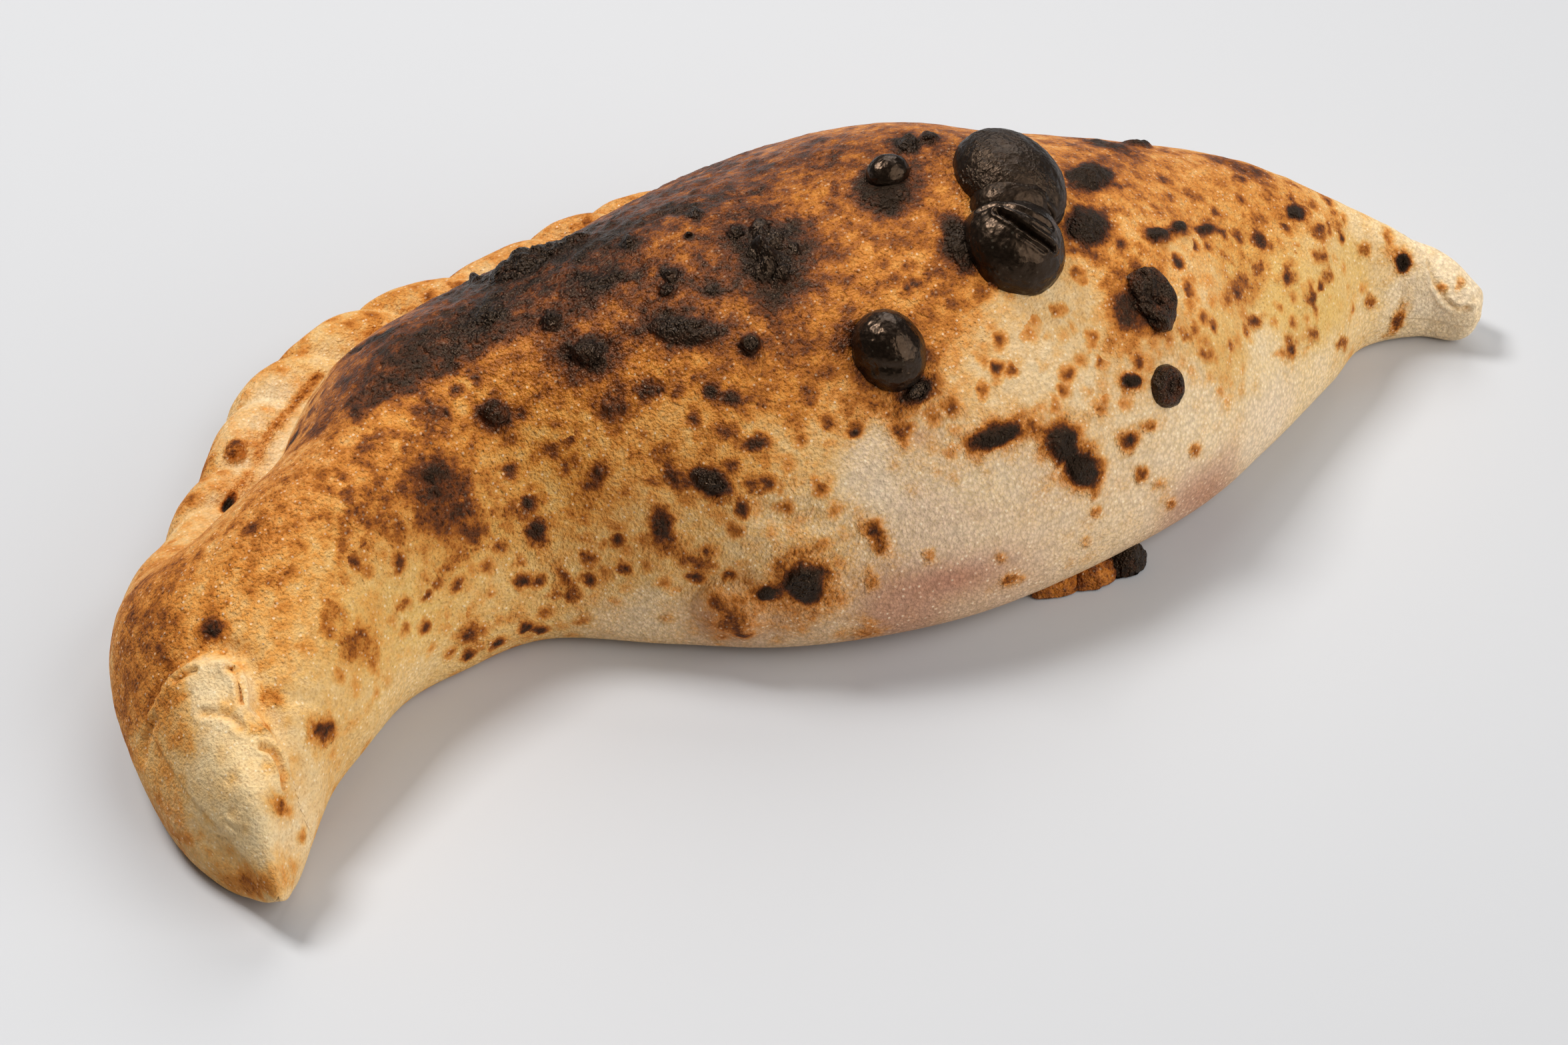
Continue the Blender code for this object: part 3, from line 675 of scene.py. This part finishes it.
def paintCrust(points):
    warp = np.stack([layeredNoise(points, browning["driftSize"], seed) for seed in (1, 2, 3)], -1)
    levels = judgedLevels(points + warp * browning["drift"])
    bake, oil, flour, yellow, pink = levels.T.copy()
    blotch = browning["blotch"] + browning["toastBlotch"] * ramp(*browning["toasted"], bake)
    blotches = blotch * layeredNoise(points, browning["blotchSize"], 11)
    bake += blotches + browning["fleck"] * layeredNoise(points, browning["fleckSize"], 12)
    for x, y, halfWidth, halfHeight, tilt, target in spots:
        radius = markRadius(points, x, y, halfWidth, halfHeight, tilt)
        if radius is None:
            continue
        near = radius < spotShape["reach"]
        size = max(halfWidth, halfHeight) * pixelSize
        rags = layeredNoise(points[near], spotShape["leastRag"] + size * spotShape["ragSize"], 21, 3)
        away = radius[near] * (1 + spotShape["raggedness"] * rags)
        haze = ramp(*spotShape["hazySizes"], size) * spotShape["haze"] + spotShape["leastHaze"]
        core = np.exp(-((away * spotShape["core"]) ** spotShape["coreEdge"]))
        weight = (1 - haze) * core + haze * np.exp(-((away * spotShape["halo"]) ** 2))
        bake[near] += np.maximum(target - bake[near], 0) * weight
    for *mark, target in stains:
        share = np.exp(-(markRadius(points, *mark) ** 2))
        pink += np.maximum(target - pink, 0) * share
    return dict(zip(levelNames, (bake, oil, flour, yellow, pink)))


def creaseHeight(away, depth, lip):
    return lip * np.exp(-((away - creaseShape["lipAt"]) ** 2)) - depth * np.exp(-(away**2))


def creaseCrust(points, levels):
    height = np.zeros(len(points))
    for pixels, width, depth, lip, added in creases:
        away = awayFromLine(points, lineOn(doughTree, pixels)) / width
        height += creaseHeight(away, depth, lip)
        # the bake is raised along each crease's groove: partly the browned edge, partly painted shade
        # in the crease
        levels["bake"] += added * np.exp(-((away / creaseShape["brownAndShadeTo"]) ** 2))
    return height


# Rough black lumps on and behind the crest: plan x, y, length X, length Y, height in mm, lumpiness.
crags = [
    (135.8, 33.0, 5, 11, 1.3, 1.3),
    (102.5, 73.0, 13, 8, 3.5, 0.9),
    (112.5, 72.0, 11, 7, 3.0, 0.9),
]


cragShape = {
    "reach": 1.6,  # half sizes from its middle that it can touch
    "heightReach": 15.0,  # mm
    "lumpSize": 4.5,  # mm
    "edgeSize": 4.0,  # mm
    "raggedness": 0.3,
    "roundness": 0.6,
    "level": 0.75,
    "charTo": (1.3, 0.8),
    "bake": 0.99,
    "oil": 0.95,
}
swellShape = {
    "reach": 1.6,
    "lumpSize": 2.6,  # mm
    "edgeSize": 5.0,  # mm
    "raggedness": 0.25,
    "roundness": 0.8,
    "charTo": (1.5, 0.3),
    "charRaggedness": 0.25,
}


def charCrust(levels, near, bake, oil, share):
    levels["bake"][near] += np.maximum(bake - levels["bake"][near], 0) * share
    levels["oil"][near] += (oil - levels["oil"][near]) * share


def cragCrust(points, levels):
    height = np.zeros(len(points))
    for seed, (x, y, lengthX, lengthY, high, lumpiness) in enumerate(crags):
        seat, _ = seatOn(x, y)
        away = (points - np.array(seat)) / (lengthX / 2, lengthY / 2, cragShape["heightReach"])
        away = np.linalg.norm(away, axis=1)
        near = away < cragShape["reach"]
        rough = layeredNoise(points[near], cragShape["lumpSize"], 90 + seed, 4)
        rags = layeredNoise(points[near], cragShape["edgeSize"], 95 + seed, 2)
        away = away[near] * (1 + cragShape["raggedness"] * rags)
        dome = np.clip(1 - away**2, 0, 1) ** cragShape["roundness"]
        height[near] += high * dome * (cragShape["level"] + lumpiness * rough)
        share = ramp(*cragShape["charTo"], away)
        charCrust(levels, near, cragShape["bake"], cragShape["oil"], share)
    return height


def swellCrust(points, levels):
    height = np.zeros(len(points))
    for seed, swelling in enumerate(swellings):
        *mark, swell, lumpiness, bake, oil = swelling
        radius = markRadius(points, *mark)
        if radius is None:
            continue
        near = radius < swellShape["reach"]
        rough = layeredNoise(points[near], swellShape["lumpSize"], 50 + seed, 3)
        rags = layeredNoise(points[near], swellShape["edgeSize"], 60 + seed, 2)
        away = radius[near] * (1 + swellShape["raggedness"] * lumpiness * rags)
        dome = np.clip(1 - away**2, 0, 1) ** swellShape["roundness"]
        height[near] += swell * dome * (1 + lumpiness * rough)
        share = ramp(*swellShape["charTo"], away + swellShape["charRaggedness"] * rough)
        charCrust(levels, near, bake, oil, share)
    return height


def linear(hexColour):
    values = [int(hexColour[i : i + 2], 16) / 255 for i in (1, 3, 5)]
    return (*[v / 12.92 if v <= 0.04045 else ((v + 0.055) / 1.055) ** 2.4 for v in values], 1)


# Settings and links go by a socket's name or number, and a source is written as node or node.socket.
def addNode(tree, name, kind, settings, links):
    node = tree.nodes.new(kind)
    node.name = name
    for key, value in settings.items():
        if isinstance(key, int) or key in node.inputs:
            node.inputs[key].default_value = value
        else:
            setattr(node, key, value)
    for key, source in links.items():
        origin, _, socket = source.partition(".")
        outputs = tree.nodes[origin].outputs
        tree.links.new(outputs[int(socket) if socket.isdigit() else socket or 0], node.inputs[key])


def setRamp(node, stops):
    elements = node.color_ramp.elements
    while len(elements) > 1:
        elements.remove(elements[-1])
    elements[0].position, elements[0].color = stops[0][0], linear(stops[0][1])
    for place, colour in stops[1:]:
        elements.new(place).color = linear(colour)


# Wheat dough baked on a hot stone: matt and floury where pale, leathery and oily where brown,
# glassy black where it charred. The crust browns by steps, so one ramp gives every colour.
crustFinish = {
    "browning": [
        (0.00, "#f2dfbc"),
        (0.14, "#efd29f"),
        (0.30, "#e8b56c"),
        (0.42, "#e39a45"),
        (0.52, "#cf7f2c"),
        (0.62, "#a05919"),
        (0.72, "#683210"),
        (0.82, "#381b0d"),
        (0.92, "#190e08"),
        (1.00, "#0d0805"),
    ],
    "flour": "#f3d6b6",
    "yellow": "#e9bc60",
    "sauce": "#a0492f",
    "speck": "#fbeccb",
    # the colour of the painted shade that is multiplied into the hollows
    "hollow": "#b9906b",
    "wrinkle": 0.8,  # mm between the leathery wrinkles of the browned skin
    # a grain of semolina is 0.3 mm, too fine to show, so grains and specks are drawn coarser
    "grain": 0.5,  # mm
    "speckPitch": 0.95,  # mm
    "drift": 3.6,  # mm that the freckles are moved by the mottle
    "mottle": 3.2,  # mm between the patches of a blotch
    "freckle": 4.5,  # mm between freckles
    "cinder": 1.6,  # mm between the beads of burnt sugar and flour on the char
    "gloss": 0.55,
    "ior": 1.45,
    "sheenTint": "#f7c9a2",  # burnt sugar warms the reflection
    "dryRoughness": 0.9,
    "oilyRoughness": 0.24,
    "wrinkleDepth": 0.9,  # mm for the whole range of the noise, of which it uses a third
    "grainDepth": 0.28,
    "cinderDepth": 0.9,
}


def perMetre(size):
    return 1 / (size * mm)


# Settings that spread the first two values over the other two, which are 0 and 1 if not given.
def fromTo(*ends):
    return dict(zip(("From Min", "From Max", "To Min", "To Max"), ends))


# The crust's node graph: name, kind, settings and links of each node.
def crustGraph(finish):
    attribute, noise, cells = "ShaderNodeAttribute", "ShaderNodeTexNoise", "ShaderNodeTexVoronoi"
    maths, vectors, bump = "ShaderNodeMath", "ShaderNodeVectorMath", "ShaderNodeBump"
    spread, mix = "ShaderNodeMapRange", "ShaderNodeMix"
    times, plus, timesPlus = [{"operation": name} for name in ("MULTIPLY", "ADD", "MULTIPLY_ADD")]
    place = {"Vector": "place.Object"}
    colours = {"data_type": "RGBA"}
    levels = [(name, attribute, {"attribute_name": name}, {}) for name in levelNames]
    noises = [
        (name, noise, {"Scale": perMetre(finish[name]), "Detail": detail}, place)
        for name, detail in (("mottle", 3.0), ("wrinkle", 2.0), ("grain", 1.0), ("cinder", 2.0))
    ]
    return [("place", "ShaderNodeTexCoord", {}, {})] + levels + noises + [
        ("semolina", cells, {"Scale": perMetre(finish["speckPitch"])}, place),
        ("drifted", vectors, {**timesPlus, 1: [finish["drift"] * mm] * 3},
         {0: "mottle.Color", 2: "place.Object"}),
        ("freckles", cells, {"Scale": perMetre(finish["freckle"])}, {"Vector": "drifted"}),
        # freckles of all strengths, none on the char and few in the flour or where it is dry
        ("freckleDisc", spread, fromTo(0.6, 0.1), {"Value": "freckles.Distance"}),
        ("freckleDraw", spread, fromTo(0.05, 0.8, 0, 0.56), {"Value": "freckles.Color"}),
        ("freckleRoom", spread, fromTo(0.62, 0.34), {"Value": "bake.Fac"}),
        ("freckleBase", spread, fromTo(0.1, 0.2, 0.1), {"Value": "bake.Fac"}),
        ("freckleOil", spread, fromTo(0.08, 0.3, 0.4), {"Value": "oil.Fac"}),
        ("freckleShare", maths, times, {0: "freckleDisc", 1: "freckleDraw"}),
        ("freckleSome", maths, times, {0: "freckleShare", 1: "freckleRoom"}),
        ("freckleMany", maths, times, {0: "freckleSome", 1: "freckleBase"}),
        ("freckled", maths, times, {0: "freckleMany", 1: "freckleOil"}),
        # the level of browning, with its patches, wrinkles and grains, which hardly show in the flour
        ("patchy", maths, {**timesPlus, 1: 0.50, 2: -0.425}, {0: "mottle"}),
        ("wrinkly", maths, {**timesPlus, 1: 0.20}, {0: "wrinkle", 2: "patchy"}),
        ("grainy", maths, {**timesPlus, 1: 0.15}, {0: "grain", 2: "wrinkly"}),
        ("uneven", spread, fromTo(0.15, 0.45, 0.3, 1.1), {"Value": "bake.Fac"}),
        ("baked", maths, timesPlus, {0: "grainy", 1: "uneven", 2: "bake.Fac"}),
        ("browned", maths, plus, {0: "baked", 1: "freckled"}),
        ("browning", "ShaderNodeValToRGB", {}, {"Fac": "browned"}),
        # yellow dough, flour and sauce show only where it is pale
        ("pale", spread, fromTo(0.6, 0.25), {"Value": "browned"}),
        ("yellowShare", maths, times, {0: "yellow.Fac", 1: "pale"}),
        ("yellowPart", maths, {**times, 1: 0.9}, {0: "yellowShare"}),
        ("yellowed", mix, {**colours, 7: linear(finish["yellow"])},
         {0: "yellowPart", 6: "browning.Color"}),
        ("dust", spread, fromTo(0.38, 0.6, 0.15, 0.75), {"Value": "grain"}),
        ("dustShare", maths, times, {0: "dust", 1: "flour.Fac"}),
        ("dustPart", maths, times, {0: "dustShare", 1: "pale"}),
        ("dusted", mix, {**colours, 7: linear(finish["flour"])}, {0: "dustPart", 6: "yellowed.2"}),
        ("pinkShare", maths, times, {0: "pink.Fac", 1: "pale"}),
        ("pinkPart", maths, {**times, 1: 0.8}, {0: "pinkShare"}),
        ("pinked", mix, {**colours, 7: linear(finish["sauce"])}, {0: "pinkPart", 6: "dusted.2"}),
        # light grains of semolina, fewest on the char
        ("speckDisc", spread, fromTo(0.34, 0.2), {"Value": "semolina.Distance"}),
        ("speckDraw", spread, fromTo(0.62, 0.78), {"Value": "semolina.Color"}),
        ("speckRoom", spread, fromTo(0.8, 0.45, 0.03, 0.5), {"Value": "browned"}),
        ("speckShare", maths, times, {0: "speckDisc", 1: "speckDraw"}),
        ("speckPart", maths, times, {0: "speckShare", 1: "speckRoom"}),
        ("specked", mix, {**colours, 7: linear(finish["speck"])}, {0: "speckPart", 6: "pinked.2"}),
        # painted shade: the hollows between the wrinkles and between the grains are painted darker than
        # their tops, less where flour lies
        ("fine", maths, {**timesPlus, 1: 0.8}, {0: "grain", 2: "wrinkle"}),
        ("hollow", spread, fromTo(0.92, 0.62, 0, 0.42), {"Value": "fine"}),
        ("hollowRoom", spread, fromTo(0.1, 0.6, 1, 0.4), {"Value": "flour.Fac"}),
        ("hollowPart", maths, times, {0: "hollow", 1: "hollowRoom"}),
        ("hollowed", mix, {**colours, "blend_type": "MULTIPLY", 7: linear(finish["hollow"])},
         {0: "hollowPart", 6: "specked.2"}),
        # painted shade and light: the gaps between the grains are painted darker and their middles a
        # little lighter, less where flour lies
        ("seam", spread, fromTo(0.25, 0.75, 0.09, -0.19), {"Value": "semolina.Distance"}),
        ("seamRoom", spread, fromTo(0.15, 0.6, 0.35), {"Value": "flour.Fac"}),
        ("grained", maths, {**timesPlus, 2: 1.0}, {0: "seam", 1: "seamRoom"}),
        ("shaded", vectors, {"operation": "SCALE"}, {0: "hollowed.2", "Scale": "grained"}),
        # oil makes it shine, and it lies unevenly
        ("oilPatches", spread, fromTo(0.3, 0.6, 0.75, 1.1), {"Value": "wrinkle"}),
        ("wet", maths, times, {0: "oil.Fac", 1: "oilPatches"}),
        ("roughness", spread, fromTo(0, 1, finish["dryRoughness"], finish["oilyRoughness"]),
         {"Value": "wet"}),
        # wrinkles where it browned, beads on the char, and little of either on a tight blister
        ("leatherOn", spread, fromTo(0.2, 0.45, 0.12), {"Value": "bake.Fac"}),
        ("tightSkin", spread, fromTo(1.08, 0.98, 0.05), {"Value": "bake.Fac"}),
        ("leatherShare", maths, times, {0: "leatherOn", 1: "tightSkin"}),
        ("leather", maths, times, {0: "wrinkle", 1: "leatherShare"}),
        ("rounded", maths, {**timesPlus, 1: -0.5}, {0: "semolina.Distance", 2: "grain"}),
        ("grit", maths, times, {0: "rounded", 1: "tightSkin"}),
        ("charred", spread, fromTo(0.82, 0.95), {"Value": "bake.Fac"}),
        ("cinderShare", maths, times, {0: "charred", 1: "tightSkin"}),
        ("cinders", maths, times, {0: "cinder", 1: "cinderShare"}),
        ("leatherBump", bump, {"Distance": finish["wrinkleDepth"] * mm}, {"Height": "leather"}),
        ("gritBump", bump, {"Distance": finish["grainDepth"] * mm},
         {"Height": "grit", "Normal": "leatherBump"}),
        ("cinderBump", bump, {"Distance": finish["cinderDepth"] * mm},
         {"Height": "cinders", "Normal": "gritBump"}),
        ("shader", "ShaderNodeBsdfPrincipled",
         {"Metallic": 0.0, "IOR": finish["ior"], "Specular IOR Level": finish["gloss"],
          "Specular Tint": linear(finish["sheenTint"])},
         {"Base Color": "shaded.Vector", "Roughness": "roughness", "Normal": "cinderBump"}),
        ("output", "ShaderNodeOutputMaterial", {}, {"Surface": "shader"}),
    ]


def makeCrustMaterial():
    material = bpy.data.materials.new("bakedDough")
    material.use_nodes = True
    tree = material.node_tree
    tree.nodes.clear()
    for row in crustGraph(crustFinish):
        addNode(tree, *row)
    setRamp(tree.nodes["browning"], crustFinish["browning"])
    return material


crustMaterial = makeCrustMaterial()


def addPiece(name, points, faces, levels, material, normals=None):
    mesh = bpy.data.meshes.new(name)
    mesh.from_pydata((np.asarray(points) * mm).tolist(), [], faces)
    mesh.update()
    mesh.shade_smooth()
    if normals is not None:
        mesh.normals_split_custom_set_from_vertices(normals.tolist())
    for key, values in levels.items():
        stored = mesh.attributes.new(key, "FLOAT", "POINT")
        stored.data.foreach_set("value", np.asarray(values, np.float32))
    mesh.materials.append(material)
    piece = bpy.data.objects.new(name, mesh)
    bpy.context.scene.collection.objects.link(piece)
    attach(piece, "root")
    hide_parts("calzone")


def joined(meshes):
    points, faces, levels = [], [], {}
    for body, sides, values in meshes:
        start = sum(len(p) for p in points)
        points.append(body)
        faces += [tuple(i + start for i in face) for face in sides]
        for key, value in values.items():
            levels.setdefault(key, []).append(value)
    return np.concatenate(points), faces, {k: np.concatenate(v) for k, v in levels.items()}


# Relief of the skin: height and size in mm of its waves and dimples, and of the beads that it has
# where it is browned that far.
crustRelief = {
    "waves": (0.35, 11.0),
    "dimples": (0.12, 3.5),
    "beads": (0.5, 2.6),
    "smallBeads": (0.3, 1.5),
    "beadedFrom": (0.55, 0.85),
    "lobeBake": 0.05,
}


# The finished surface as a grid, with its levels and normals, so that strips of it meet exactly.
def finishedCrust():
    shape = doughPoints.shape[:2]
    points = doughPoints.reshape(-1, 3)
    normals = gridNormals(doughPoints).reshape(-1, 3)
    levels = paintCrust(points)
    levels["bake"] += crustRelief["lobeBake"] * doughLobes.ravel()
    (wave, waveSize), (dimple, dimpleSize) = crustRelief["waves"], crustRelief["dimples"]
    height = wave * layeredNoise(points, waveSize, 31) + dimple * layeredNoise(points, dimpleSize, 32)
    height += creaseCrust(points, levels)
    height += swellCrust(points, levels) + cragCrust(points, levels)
    (bead, beadSize), (small, smallSize) = crustRelief["beads"], crustRelief["smallBeads"]
    beads = bead * layeredNoise(points, beadSize, 33, 2) + small * lumpyNoise(points, smallSize, 34)
    height += ramp(*crustRelief["beadedFrom"], levels["bake"]) * beads
    points = points + normals * (height * doughClear.ravel())[:, None]
    grid = points.reshape(*shape, 3)
    normals = gridNormals(grid)
    for end, inner in ((0, 1), (-1, -2)):
        normals[end] = normals[inner].mean(0)
    return grid, normals, {key: values.reshape(shape) for key, values in levels.items()}


def makeCrust():
    grid, normals, levels = finishedCrust()
    names = ["crustFront", "crustTop", "crustBack"]
    edges = np.linspace(0, dough["stepsRound"], dough["strips"] + 1).astype(int)
    for name, start, end in zip(names, edges, edges[1:]):
        columns = slice(start, end + 1)
        parts = [(columns, normals[:, columns])]
        if end == dough["stepsRound"]:
            base = np.zeros_like(normals[:, :2]) + (0, 0, -1)
            parts.append(([end, 0], base))
        meshes = []
        for chosen, facing in parts:
            values = {key: flatten(value[:, chosen]) for key, value in levels.items()}
            values["normal"] = flatten(facing)
            faces = gridFaces(grid.shape[0] - 2, facing.shape[1])
            meshes.append((flatten(grid[:, chosen]), faces, values))
        points, faces, values = joined(meshes)
        facing = values.pop("normal")
        addPiece(name, points, faces, values, crustMaterial, facing)


makeCrust()
print("crust made")


# Blisters that swelled up like balloons: plan x, y, length X, length Y, height in mm, lumpiness,
# dent, bake and oil. A bake over 1 is a skin that swelled tight before it charred.
blisters = {
    "twinBack": (189.1, 25.9, 22, 27, 8.4, 0.06, 0.0, 1.06, 0.75),
    "twinWaist": (185.6, 20.0, 19, 16, 7.2, 0.05, 0.0, 1.08, 0.8),
    "twinFront": (180.0, 12.5, 20, 21, 8.5, 0.07, 0.0, 1.14, 0.9),
    "round": (146.0, 7.2, 14, 16.5, 7.4, 0.06, 0.0, 1.15, 0.95),
    "crestDome": (168.0, 38.5, 9, 8, 3.8, 0.08, 0.0, 1.14, 0.95),
    "wrinkled": (205.0, -1.6, 10, 15, 3.8, 0.32, 0.5, 0.88, 0.85),
    "cup": (200.7, -12.6, 8, 9, 3.8, 0.10, 0.9, 0.90, 1.0),
}

# Cracks and wrinkles of the blisters: line of pixels, half width, depth and lip in mm.
blisterCreases = {
    "twinFront": [
        ([(1497, 317), (1512, 325), (1530, 338), (1552, 353), (1580, 372)], 0.55, 1.4, 0.35),
        ([(1530, 352), (1550, 364), (1566, 376)], 0.4, 0.35, 0.15),
        ([(1470, 316), (1490, 308), (1520, 312), (1550, 324), (1575, 340)], 0.6, 0.4, 0.2),
    ],
    "twinBack": [
        ([(1478, 294), (1500, 292), (1522, 298)], 0.5, 0.8, 0.2),
        ([(1522, 292), (1545, 300), (1562, 312), (1572, 326)], 0.7, 1, 0.4),
        ([(1500, 300), (1530, 306), (1560, 322)], 0.4, 0.5, 0.2),
    ],
    "round": [
        ([(1292, 556), (1318, 552), (1346, 552), (1372, 556)], 0.9, 0.3, 0.1),
    ],
    "wrinkled": [
        ([(1690, 425), (1700, 450), (1695, 480)], 0.6, 0.7, 0.3),
        ([(1715, 410), (1722, 440), (1740, 455)], 0.6, 0.7, 0.3),
        ([(1700, 490), (1715, 478), (1735, 485)], 0.9, 1, 0.3),
    ],
}


# Sizes here are shares of a blister's own.
blisterShape = {
    "largeFrom": 15.0,  # mm
    "largeRings": (100, 220),
    "smallRings": (56, 120),
    "wrap": 0.62,  # of the way down to its hidden underside
    "lumpSize": 0.9,
    "grain": 0.02,
    "grainSize": 0.16,
    "dentWidth": 0.5,
    "dentDepth": 0.7,
    "blotch": 0.06,
    "blotchSize": 0.5,
    "crackBake": 0.1,
}


def unitRings(polar, sides):
    around = np.linspace(0, 2 * math.pi, sides, endpoint=False)
    p, r = np.meshgrid(polar, around, indexing="ij")
    return np.stack([np.sin(p) * np.cos(r), np.sin(p) * np.sin(r), np.cos(p)], -1).reshape(-1, 3)


def plainLevels(bake, oil):
    levels = {name: np.zeros(len(bake)) for name in ("flour", "yellow", "pink")}
    return {**levels, "bake": bake, "oil": np.full(len(bake), oil)}


def blisterMesh(name, shape, seed):
    x, y, lengthX, lengthY, height, lumpiness, dent, bake, oil = shape
    large = max(lengthX, lengthY) > blisterShape["largeFrom"]
    rings, sides = blisterShape["largeRings" if large else "smallRings"]
    point, normal = seatOn(x, y)
    polar = np.linspace(0, math.pi * blisterShape["wrap"], rings + 1)[1:]
    unit = np.concatenate([unitRings(polar, sides), [(0, 0, 1)]])
    swollen = 1 + lumpiness * layeredNoise(unit, blisterShape["lumpSize"], seed)
    swollen += blisterShape["grain"] * layeredNoise(unit, blisterShape["grainSize"], seed + 7)
    body = unit * swollen[:, None]
    flat = np.hypot(unit[:, 0], unit[:, 1]) / blisterShape["dentWidth"]
    body[:, 2] -= dent * blisterShape["dentDepth"] * np.exp(-(flat**2)) * (unit[:, 2] > 0)
    outward = unit / (lengthX / 2, lengthY / 2, height)
    outward /= np.linalg.norm(outward, axis=1, keepdims=True)
    body = body * (lengthX / 2, lengthY / 2, height)
    turned = normal.to_track_quat("Z", "Y").to_matrix()
    heading = turned @ Vector((1, 0, 0))
    level = Matrix.Rotation(-math.atan2(heading.y, heading.x), 3, normal)
    turn = np.array(level @ turned).T
    body, outward = body @ turn + np.array(point), outward @ turn
    faces = gridFaces(rings, sides, closed=True)[:-sides]  # without the fan at the open lower end
    tree = BVHTree.FromPolygons(body.tolist(), faces)
    faces.append(tuple(reversed(range((rings - 1) * sides, rings * sides))))
    blotches = layeredNoise(unit, blisterShape["blotchSize"], seed + 3)
    baked = bake + blisterShape["blotch"] * blotches
    for pixels, width, depth, lip in blisterCreases.get(name, []):
        away = awayFromLine(body, lineOn(tree, pixels)) / width
        body += outward * creaseHeight(away, depth, lip)[:, None]
        baked += blisterShape["crackBake"] * np.exp(-(away**2))
    return body, faces, plainLevels(baked, oil)


def makeBlisters():
    meshes = []
    for seed, (name, shape) in enumerate(blisters.items()):
        meshes.append(blisterMesh(name, shape, 100 + seed * 11))
    addPiece("blisters", *joined(meshes), crustMaterial)


makeBlisters()
print("blisters made")


# Filling that ran out under the front foot and burnt: plan x, y, length X, length Y and height
# in mm, and bake.
drip = {
    "lumps": [
        (176.0, -14.0, 14, 7, 4.8, 0.58),
        (183.0, -15.5, 12, 8, 5.2, 0.66),
        (190.0, -16.5, 10, 8, 6.5, 0.97),
    ],
    "clearance": 0.4,
    "lumpiness": 0.28,
    "lumpSize": 0.7,  # shares of a lump's size, as the next two are
    "blotch": 0.12,
    "blotchSize": 0.5,
    "oil": 0.8,
    "rings": (40, 72),
}


def dripMesh(shape, seed):
    x, y, lengthX, lengthY, height, bake = shape
    rings, sides = drip["rings"]
    polar = np.linspace(0, math.pi, rings + 2)[1:-1]
    unit = np.concatenate([unitRings(polar, sides), [(0, 0, 1), (0, 0, -1)]])
    body = unit * (1 + drip["lumpiness"] * layeredNoise(unit, drip["lumpSize"], seed, 4))[:, None]
    body = body * (lengthX / 2, lengthY / 2, height)
    body[:, :2] += np.array((x, y)) - dough["origin"]
    body[:, 2] = np.maximum(body[:, 2], drip["clearance"])
    faces = gridFaces(rings, sides, closed=True)
    baked = bake + drip["blotch"] * layeredNoise(unit, drip["blotchSize"], seed + 3)
    return body, faces, plainLevels(baked, drip["oil"])


addPiece(
    "burntDrip",
    *joined([dripMesh(shape, 300 + 9 * i) for i, shape in enumerate(drip["lumps"])]),
    crustMaterial,
)
print("drip made")


# A plain pale painted table, half matt, under soft light: a small one behind on the left, a wide one
# behind on the right, and a wide weak one in front on the right.
studio = {
    "table": "#c7c7c8",
    "tableRoughness": 0.55,
    "tableSize": 12000.0,  # mm
    "world": "#f2f4f8",
    "worldStrength": 0.12,
    "lights": {  # place in mm, size in mm, power in watts
        "backLight": ((-290.0, 560.0, 1160.0), 380.0, 12.5),
        "topLight": ((720.0, 760.0, 1100.0), 900.0, 7.6),
        "frontLight": ((800.0, -1420.0, 1150.0), 2000.0, 34.0),
    },
}


def addTable():
    half = studio["tableSize"] / 2 * mm
    mesh = bpy.data.meshes.new("table")
    corners = [(-half, -half, 0), (half, -half, 0), (half, half, 0), (-half, half, 0)]
    mesh.from_pydata(corners, [], [(0, 1, 2, 3)])
    material = bpy.data.materials.new("paintedTable")
    material.use_nodes = True
    shader = material.node_tree.nodes["Principled BSDF"]
    shader.inputs["Base Color"].default_value = linear(studio["table"])
    shader.inputs["Roughness"].default_value = studio["tableRoughness"]
    mesh.materials.append(material)
    table = bpy.data.objects.new("table", mesh)
    bpy.context.scene.collection.objects.link(table)


def addLight(name, place, size, power):
    data = bpy.data.lights.new(name, "AREA")
    data.shape = "SQUARE"
    data.size = size * mm
    data.energy = power
    light = bpy.data.objects.new(name, data)
    bpy.context.scene.collection.objects.link(light)
    light.location = Vector(place) * mm
    light.rotation_mode = "QUATERNION"
    light.rotation_quaternion = (-Vector(place)).to_track_quat("-Z", "Y")


def addWorld():
    world = bpy.data.worlds.new("studio")
    world.use_nodes = True
    background = world.node_tree.nodes["Background"]
    background.inputs["Color"].default_value = linear(studio["world"])
    background.inputs["Strength"].default_value = studio["worldStrength"]
    bpy.context.scene.world = world


addTable()
for name, light in studio["lights"].items():
    addLight(name, *light)
addWorld()
bpy.context.scene.view_settings.view_transform = "Standard"
print("studio lit")
